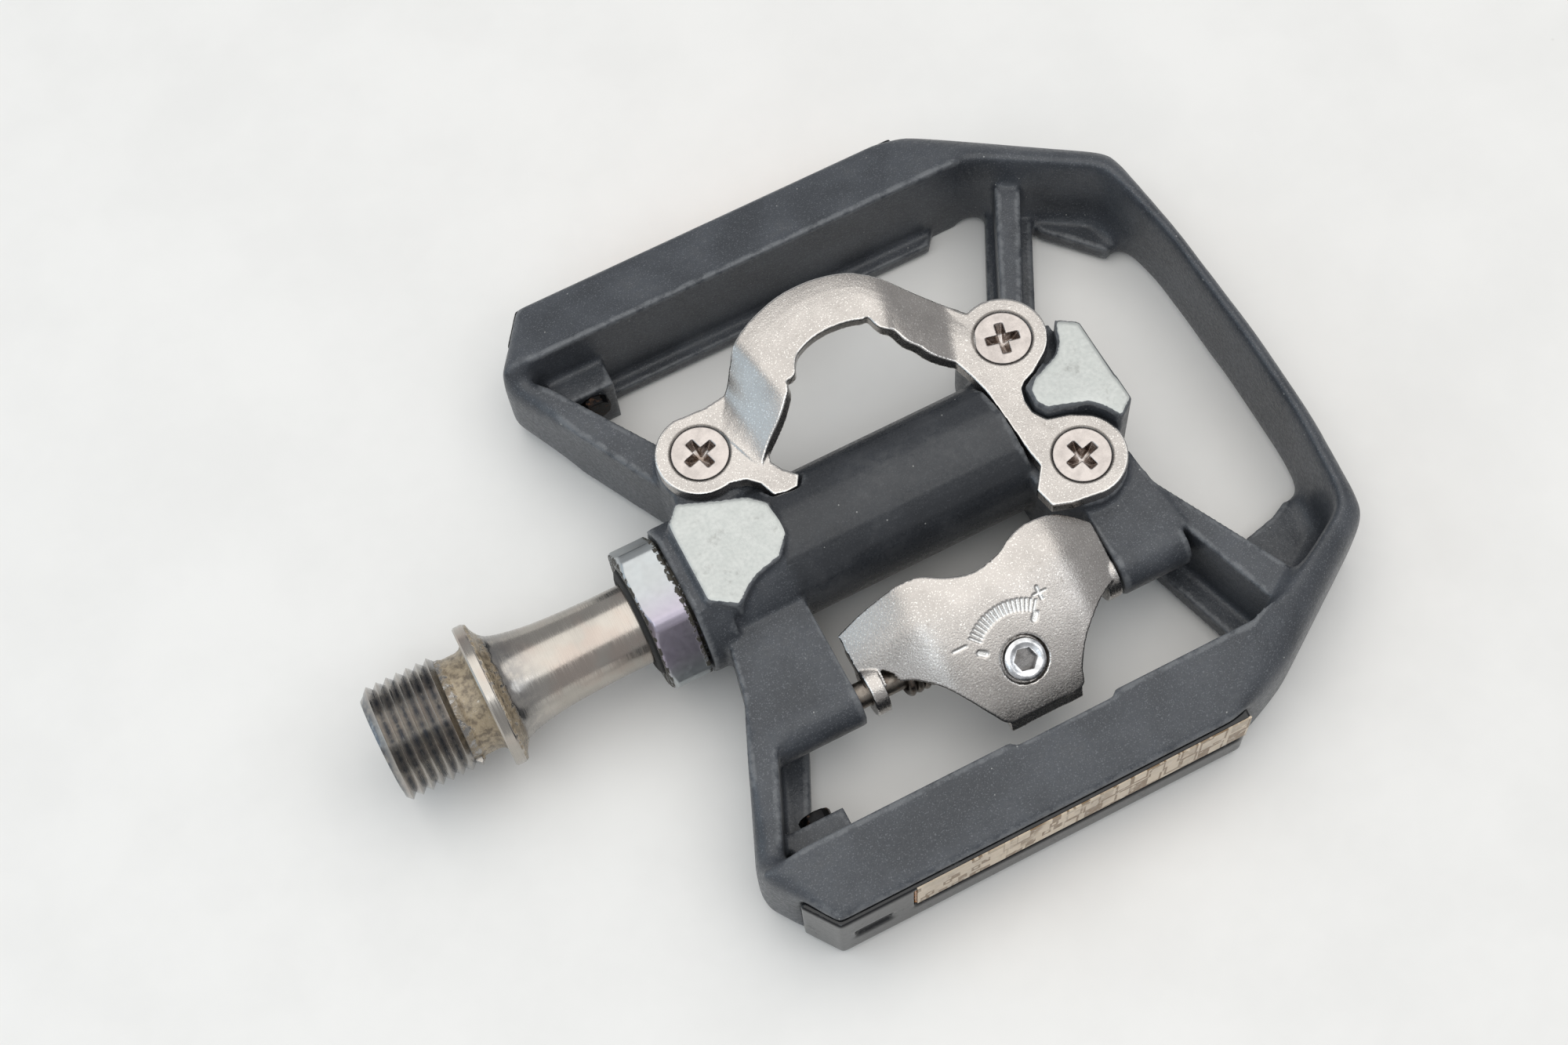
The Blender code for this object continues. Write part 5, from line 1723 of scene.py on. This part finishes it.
@dataclass
class Helix:
    """A wire wound round the x direction: a spring's coils or a screw thread."""

    start: Point
    length: float
    radius: float
    turns: float
    wire: float
    facets: int = 12
    steps: int = 48
    phase: float = 0.0

    def grow(self, name: str, material: bpy.types.Material) -> bpy.types.Object:
        """Wind the wire and return it as a mesh.

        Args:
            name: Name of the object.
            material: The finish it is grown with.

        Returns:
            The new object.
        """
        tree = Growth(name, At=tuple(place(self.start)), Turn=(0.0, math.pi / 2, self.phase),
                      Length=self.length * MM, Radius=self.radius * MM, Turns=self.turns,
                      Wire=self.wire * MM, Facets=self.facets, Steps=self.steps)
        given = tree.given
        path = tree.add("GeometryNodeCurveSpiral", {
            "Resolution": given["Steps"], "Rotations": given["Turns"], "Start Radius": given["Radius"],
            "End Radius": given["Radius"], "Height": given["Length"],
        }).outputs[0]
        path = tree.add("GeometryNodeSetCurveNormal", {"Curve": path}, mode="Z_UP").outputs[0]
        section = tree.add("GeometryNodeCurvePrimitiveCircle",
                           {"Resolution": given["Facets"], "Radius": given["Wire"]}).outputs[0]
        swept = {"Curve": path, "Profile Curve": section, "Fill Caps": True}
        return tree.close(tree.add("GeometryNodeCurveToMesh", swept).outputs[0], material)


@dataclass
class BallRow:
    """A ring of bearing balls round the axle."""

    row_x: float
    count: int = 12
    pitch_r: float = 4.7505
    ball_r: float = 1.185

    def grow(self, name: str, material: bpy.types.Material) -> bpy.types.Object:
        """Place the balls on their circle and return them as one mesh.

        Args:
            name: Name of the object.
            material: The finish it is grown with.

        Returns:
            The new object.
        """
        tree = Growth(name, At=tuple(place((self.row_x, 0.0, 0.0))), Turn=(0.0, math.pi / 2, 0.0),
                      Pitch=self.pitch_r * MM, Ball=self.ball_r * MM, Count=self.count, Segments=28, Rings=16)
        given = tree.given
        ring = tree.add("GeometryNodeMeshCircle", {"Vertices": given["Count"], "Radius": given["Pitch"]})
        ball = tree.add("GeometryNodeMeshUVSphere", {"Segments": given["Segments"], "Rings": given["Rings"],
                                                     "Radius": given["Ball"]})
        spread = {"Points": ring.outputs[0], "Instance": ball.outputs[0]}
        return tree.close(tree.add("GeometryNodeInstanceOnPoints", spread).outputs[0], material)


def hexagon(name: str, centre: Sequence[float], along: Sequence[float], flats: float, depth: float,
            turn: float = 0.0) -> bpy.types.Object:
    """Make a hexagonal cutter that sinks along an axis.

    Args:
        name: Name of the object.
        centre: Middle of its mouth.
        along: Direction in which it sinks.
        flats: Width across its flats.
        depth: How deep it goes.
        turn: Its turn round the axis, in degrees.

    Returns:
        The new object.
    """
    way = Vector(along).normalized()
    swing = Vector((0, 0, 1)).rotation_difference(way)
    reach = flats / math.sqrt(3)
    rings = []
    for distance in (-1.0, depth):
        angles = [math.radians(60 * i + turn) for i in range(6)]
        rings.append([Vector(centre) + way * distance
                      + swing @ Vector((reach * math.cos(a), reach * math.sin(a), 0)) for a in angles])
    return skin(name, rings)


# ---------------------------------------------------------------- tension bolt, pin and springs
@dataclass
class TensionBolt:
    """The chromed bolt that sets the claw's spring, with its hexagon socket painted darker towards the floor."""

    claw: RearClaw
    head_r: float = 2.55
    head_height: float = 1.55
    sunk: float = 0.94
    shank_r: float = 1.85
    length: float = 8.2
    flats: float = 2.55
    socket: float = 1.35

    def build(self, dresser: Dresser) -> None:
        """Turn the bolt and cut its socket.

        Args:
            dresser: What dresses the finished pieces.
        """
        seat, axis = Vector(self.claw.seat), self.claw.axis()
        foot = seat - axis * self.sunk
        top = self.head_height
        tip = 0.4
        profile = [(-self.length, 0.0), (-self.length, self.shank_r - tip),
                   (-self.length + tip, self.shank_r), (0.0, self.shank_r), (0.0, self.head_r - 0.1),
                   (0.1, self.head_r), (top - 0.45, self.head_r), (top - 0.18, self.head_r - 0.1),
                   (top, self.head_r - 0.42),
                   (top, self.flats / 2 + 0.55), (top - 0.12, self.flats / 2 + 0.35), (top - 0.12, 0.0)]
        piece = turned("tension_bolt_fine", profile, foot, axis, 96)
        boolean(piece, [hexagon("socket", foot + axis * top, -axis, self.flats, self.socket, 12.0)],
                "DIFFERENCE")
        shade(piece, 35.0)
        offset = corners(piece) - np.array(foot)
        axis_row = np.array(axis)
        height = offset @ axis_row
        radius = np.linalg.norm(offset - height[:, None] * axis_row, axis=1)
        # The socket is painted darker towards its floor
        inside = (radius < self.flats * 0.62) & (height > 0)
        paint(piece, "grease", inside * smoothstep(top - 0.1, top - 0.5, height))
        dresser.dress(piece, dresser.palette.bolt, Slot.DARK, Body.BOLT, "tension_bolt")
        dresser.keep("tension_plate", dresser.palette.hardware)


@dataclass
class PinAndSprings:
    """The claw's pivot pin with a torsion spring wound round it at each end."""

    pin: Flat = (-20.4, 0.0)
    pin_x: Flat = (34.2, 76.0)
    pin_r: float = 1.59
    coil_r: float = 2.35
    wire_r: float = 0.45
    turns: int = 6
    springs: tuple[tuple[str, Flat], ...] = (("left_spring", (44.0, 50.75)), ("right_spring", (69.4, 62.65)))
    leg: float = 4.5

    def build(self, dresser: Dresser) -> None:
        """Turn the pin and wind both springs.

        Args:
            dresser: What dresses the finished pieces.
        """
        y, z = self.pin
        low, high = self.pin_x
        edge = 0.35
        profile = [(low, 0.0), (low, self.pin_r - edge), (low + edge, self.pin_r),
                   (high - edge, self.pin_r), (high, self.pin_r - edge), (high, 0.0)]
        pin = turned("pivot_pin_fine", profile, (0.0, y, z), sides=72)
        shade(pin)
        dresser.dress(pin, dresser.palette.wire, Slot.DARK, Body.PLATFORM, "pivot_pin")
        for node, (start, end) in self.springs:
            side = math.copysign(1.0, end - start)
            first, last = start + side * self.wire_r, end - side * self.wire_r
            coil = Helix((first, y, z), last - first, self.coil_r, float(self.turns), self.wire_r,
                         16, 56).grow(f"{node}_fine", dresser.palette.of(dresser.palette.wire))
            leg_z = z - self.coil_r
            legs = [rod("leg", (last, y, leg_z), (last, y + self.leg, leg_z), self.wire_r, 16)]
            merge(coil, legs)
            shade(coil, 40.0)
            dresser.dress(coil, dresser.palette.wire, Slot.DARK, Body.PLATFORM, node)


# ---------------------------------------------------------------- spindle and bearings
@dataclass
class Spindle:
    """The spindle: threaded stub, flange, polished neck and the journals inside the barrel."""

    thread_x: Flat = (-13.0, -3.0)
    thread_r: float = 7.1
    pitch: float = 1.27
    flange_r: float = 8.9
    flange_width: float = 1.4
    shaft_r: float = 5.05
    journal_r: float = 4.55
    tail_r: float = 3.42
    end_r: float = 3.0
    end_x: float = 66.0
    flats: float = 8.0
    socket: float = 8.0

    def profile(self) -> list[Flat]:
        """Return the (x, radius) profile from the threaded end to the far end.

        Returns:
            The points of the profile.
        """
        root = self.thread_r - 0.75
        neck = through([(self.flange_width + 0.25, self.flange_r - 0.25), (1.95, 7.75), (2.5, 6.95),
                        (3.4, 6.35), (5.6, 5.8), (8.5, 5.4), (12.5, 5.15), (16.0, self.shaft_r)], 60)
        start = self.thread_x[0]
        made = [(start, 0.0), (start, root - 0.5), (start + 0.6, root), (self.thread_x[1], root),
                (self.thread_x[1] + 0.4, root - 0.2), (-0.8, root - 0.2), (-0.25, root),
                (0.0, root + 0.3), (0.0, self.flange_r - 0.22), (0.22, self.flange_r),
                (self.flange_width - 0.2, self.flange_r), (self.flange_width, self.flange_r - 0.12)]
        made += [(float(x), float(r)) for x, r in neck]
        made += [(33.1, self.shaft_r), (33.6, self.journal_r), (46.7, self.journal_r), (46.9, 3.55),
                 (49.0, self.tail_r), (58.1, self.tail_r), (58.2, self.end_r),
                 (self.end_x - 0.6, self.end_r), (self.end_x, self.end_r - 0.4), (self.end_x, 0.0)]
        return made

    def build(self, dresser: Dresser) -> None:
        """Turn the spindle, sink its socket and wind its thread.

        Args:
            dresser: What dresses the finished pieces.
        """
        piece = turned("spindle_fine", self.profile(), sides=180)
        boolean(piece, [hexagon("socket", (self.thread_x[0], 0, 0), (1, 0, 0), self.flats, self.socket)],
                "DIFFERENCE")
        start, end = self.thread_x
        length = end - start - 0.8
        flank = self.pitch * 0.49
        thread = Helix((start + 0.4, 0, 0), length, self.thread_r - flank, length / self.pitch, flank,
                       4, 90).grow("thread", dresser.palette.of(dresser.palette.steel))
        merge(piece, [thread])
        shade(piece, 24.0)
        spots = corners(piece)
        x = spots[:, 0]
        radius = np.hypot(spots[:, 1], spots[:, 2])
        crest = smoothstep(self.thread_r - 0.35, self.thread_r - 0.05, radius)
        # A dark blue-grey reflection painted on the neck's fillet by the flange, stored with the thread's oil
        fillet_reflection = smoothstep(1.4, 2.6, x) * smoothstep(8.5, 3.5, x)
        paint(piece, "oil", smoothstep(-1.6, -2.6, x) * (1 - 0.8 * crest) + 0.5 * fillet_reflection)
        paint(piece, "grease", smoothstep(-3.6, -2.4, x) * smoothstep(self.flange_width, 0.0, x)
              * smoothstep(self.flange_r, self.flange_r - 0.7, radius)
              + 0.75 * smoothstep(1.2, 1.5, x) * smoothstep(3.6, 1.9, x))
        dresser.dress(piece, dresser.palette.steel, Slot.SPINDLE, Body.SPINDLE, "spindle")


@dataclass
class Bearings:
    """The two ball rows, the sleeve that carries them, the cone with its locknut and the bushing."""

    rows: tuple[tuple[str, float, Body], ...] = (
        ("inner", 48.0, Body.INNER_ROW),
        ("outer", 57.0, Body.OUTER_ROW),
    )

    def build(self, dresser: Dresser) -> None:
        """Grow both ball rows and dress the parts that stay.

        Args:
            dresser: What dresses the finished pieces.
        """
        palette = dresser.palette
        for name, row_x, body in self.rows:
            row = BallRow(row_x)
            piece = row.grow(f"{name}_ball_row_fine", palette.of(palette.race))
            piece.data.shade_smooth()
            nodes = [f"{name}_ball_{index:02d}" for index in range(1, row.count + 1)]
            dresser.dress(piece, palette.race, Slot.BEARING, body, *nodes)
        dresser.keep("bearing_sleeve", palette.race)
        dresser.keep("cone", palette.race)
        dresser.keep("cone_locknut", palette.hardware)
        dresser.keep("inboard_bushing", palette.bush)


@dataclass
class Collar:
    """The hexagonal collar that holds the cartridge, with the lip seal in its mouth."""

    face_x: Flat = (20.3, 25.3)
    grain: Grain = Grain(0.16, 3, 150_000)
    seal_grain: Grain = Grain(0.12, 2, 30_000)

    def mark(self, piece: bpy.types.Object) -> None:
        """Store where dirt gathers: along both faces and the rounded corners' feet.

        Args:
            piece: The piece, remeshed evenly.
        """
        spots = corners(piece)
        near = smoothstep(self.face_x[1] - 0.9, self.face_x[1] - 0.1, spots[:, 0])
        far = 0.7 * smoothstep(self.face_x[0] + 0.55, self.face_x[0], spots[:, 0])
        mouth = 0.8 * smoothstep(self.face_x[0] + 0.2, self.face_x[0] - 0.2, spots[:, 0])
        paint(piece, "dirt", np.clip(near + far + mouth, 0, 1))

    def build(self, dresser: Dresser) -> None:
        """Round the collar and the seal.

        Args:
            dresser: What dresses the finished pieces.
        """
        piece = cad_copy("lock_collar", "lock_collar_fine")
        fuse(piece, self.grain, self.mark)
        dresser.dress(piece, dresser.palette.collar, Slot.ALLOY, Body.PLATFORM, "lock_collar")
        seal = cad_copy("lip_seal", "lip_seal_fine")
        fuse(seal, self.seal_grain)
        dresser.dress(seal, dresser.palette.seal, Slot.SEAL, Body.PLATFORM, "lip_seal")


# ---------------------------------------------------------------- reflectors and label
@dataclass
class Reflectors:
    """The carriers clipped round both rails, their lenses and screws, and the printed label."""

    sides: tuple[str, ...] = ("front", "rear")
    label_x: Flat = (33.8, 76.9)
    label_y: Flat = (-44.18, -43.95)
    label_z: Flat = (-4.3, 1.8)
    label_steps: int = 40
    carrier_grain: Grain = Grain(0.19, 24, 90_000)
    lens_grain: Grain = Grain(0.16, 2, 40_000)
    screw_grain: Grain = Grain(0.1, 2, 16_000)

    def build(self, dresser: Dresser) -> None:
        """Round the moulded parts and dress them.

        Args:
            dresser: What dresses the finished pieces.
        """
        palette = dresser.palette
        for side in self.sides:
            carrier = cad_copy(f"{side}_reflector_carrier", f"{side}_carrier_moulding")
            fuse(carrier, self.carrier_grain)
            dresser.dress(carrier, palette.gloss, Slot.CARRIER, Body.PLATFORM, f"{side}_reflector_carrier")
            lens = cad_copy(f"{side}_reflector", f"{side}_lens_moulding")
            fuse(lens, self.lens_grain)
            dresser.dress(lens, palette.lens, Slot.LENS, Body.PLATFORM, f"{side}_reflector")
            screw = cad_copy(f"{side}_reflector_screw", f"{side}_screw_fine")
            fuse(screw, self.screw_grain)
            dresser.dress(screw, palette.black, Slot.DARK, Body.PLATFORM, f"{side}_reflector_screw")
        outer, inner = self.label_y
        low, high = self.label_z
        rings = [[(x, outer, low), (x, inner, low), (x, inner, high), (x, outer, high)]
                 for x in np.linspace(*self.label_x, self.label_steps)]
        label = skin("printed_label", rings)
        dresser.dress(label, palette.print, Slot.LABEL, Body.PLATFORM, "label_strip")


# ---------------------------------------------------------------- studio
@dataclass
class Studio:
    """Pale table, soft light from the upper left, and the camera."""

    camera_at: Point = (0.7, -106.5, 263.4)
    azimuth: float = -20.19
    elevation: float = 66.04
    roll: float = -7.30
    lens: float = 55.2
    sensor: float = 36.0
    nearest: float = 0.01
    aim: Point = (50.0, 0.0, 0.0)
    table_half: float = 1.6
    table_z: float = -0.00002
    sky: Colour = (0.97, 0.98, 1.0)
    sky_strength: float = 0.46
    lights: tuple[tuple[str, Point, float, float, Colour], ...] = (
        ("key", (-640.0, 260.0, 330.0), 0.70, 1.15, (0.62, 0.83, 1.0)),
        ("side", (-230.0, -400.0, 740.0), 0.36, 0.55, (0.80, 0.91, 1.0)),
        ("right", (457.0, -366.0, 603.0), 0.30, 0.40, (0.92, 0.96, 1.0)),
        ("top", (90.0, 70.0, 760.0), 1.05, 4.3, (1.0, 0.985, 0.95)),
    )

    def camera(self) -> None:
        """Set up the camera."""
        data = bpy.data.cameras.new("camera")
        data.lens = self.lens
        data.sensor_width = self.sensor
        data.clip_start = self.nearest
        held = link("camera", data)
        a, e, roll = (math.radians(angle) for angle in (self.azimuth, self.elevation, self.roll))
        back = Vector((math.sin(a) * math.cos(e), -math.cos(a) * math.cos(e), math.sin(e)))
        right = (-back).cross(Vector((0, 0, 1))).normalized()
        up = right.cross(-back)
        axis_x = right * math.cos(roll) + up * math.sin(roll)
        axis_y = up * math.cos(roll) - right * math.sin(roll)
        turn = Matrix((axis_x, axis_y, back)).transposed()
        held.matrix_world = Matrix.Translation(place(self.camera_at)) @ turn.to_4x4()
        bpy.context.scene.camera = held
        bpy.context.scene.view_settings.view_transform = "Standard"

    def light(self, name: str, at: Point, size: float, power: float, colour: Colour) -> None:
        """Hang a square softbox.

        Args:
            name: Its name.
            at: Its place in the pedal's frame, aimed at the middle of the cage.
            size: Its side, in metres.
            power: Its power, in watts.
            colour: Its colour.
        """
        data = bpy.data.lights.new(name, "AREA")
        data.size = size
        data.energy = power
        data.color = colour
        lamp = link(name, data)
        lamp.location = place(at)
        aim = place(self.aim) - lamp.location
        lamp.rotation_mode = "QUATERNION"
        lamp.rotation_quaternion = aim.to_track_quat("-Z", "Y")

    def world(self) -> None:
        """Fill the room with pale light."""
        made = bpy.data.worlds.new("room")
        made.use_nodes = True
        sky = made.node_tree.nodes["Background"]
        sky.inputs["Color"].default_value = (*self.sky, 1.0)
        sky.inputs["Strength"].default_value = self.sky_strength
        bpy.context.scene.world = made

    def build(self, palette: Palette) -> None:
        """Lay the table and set up the light and the camera.

        Args:
            palette: Every finish.
        """
        reach = self.table_half
        square = ((-reach, -reach), (reach, -reach), (reach, reach), (-reach, reach))
        spots = [(x, y, self.table_z) for x, y in square]
        mesh = bpy.data.meshes.new("table")
        mesh.from_pydata(spots, [], [(0, 1, 2, 3)])
        mesh.materials.append(palette.of(palette.table))
        table = link("table", mesh)
        for light in self.lights:
            self.light(*light)
        self.world()
        self.camera()


def save_sizes() -> None:
    """Bring the scene's transforms up to date."""
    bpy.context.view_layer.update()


def main() -> None:
    """Build and dress every piece, then the studio round them."""
    logging.basicConfig(level=logging.INFO, format="%(name)s: %(message)s")
    dresser = Dresser()
    claw = RearClaw()
    for part in (Casting(), FrontClaw(), claw, TensionBolt(claw), PinAndSprings(), Spindle(), Bearings(),
                 Collar(), Reflectors()):
        part.build(dresser)
    Studio().build(dresser.palette)
    save_sizes()
    log.info("%d pieces dressed", dresser.pieces)


if __name__ == "__main__":
    main()
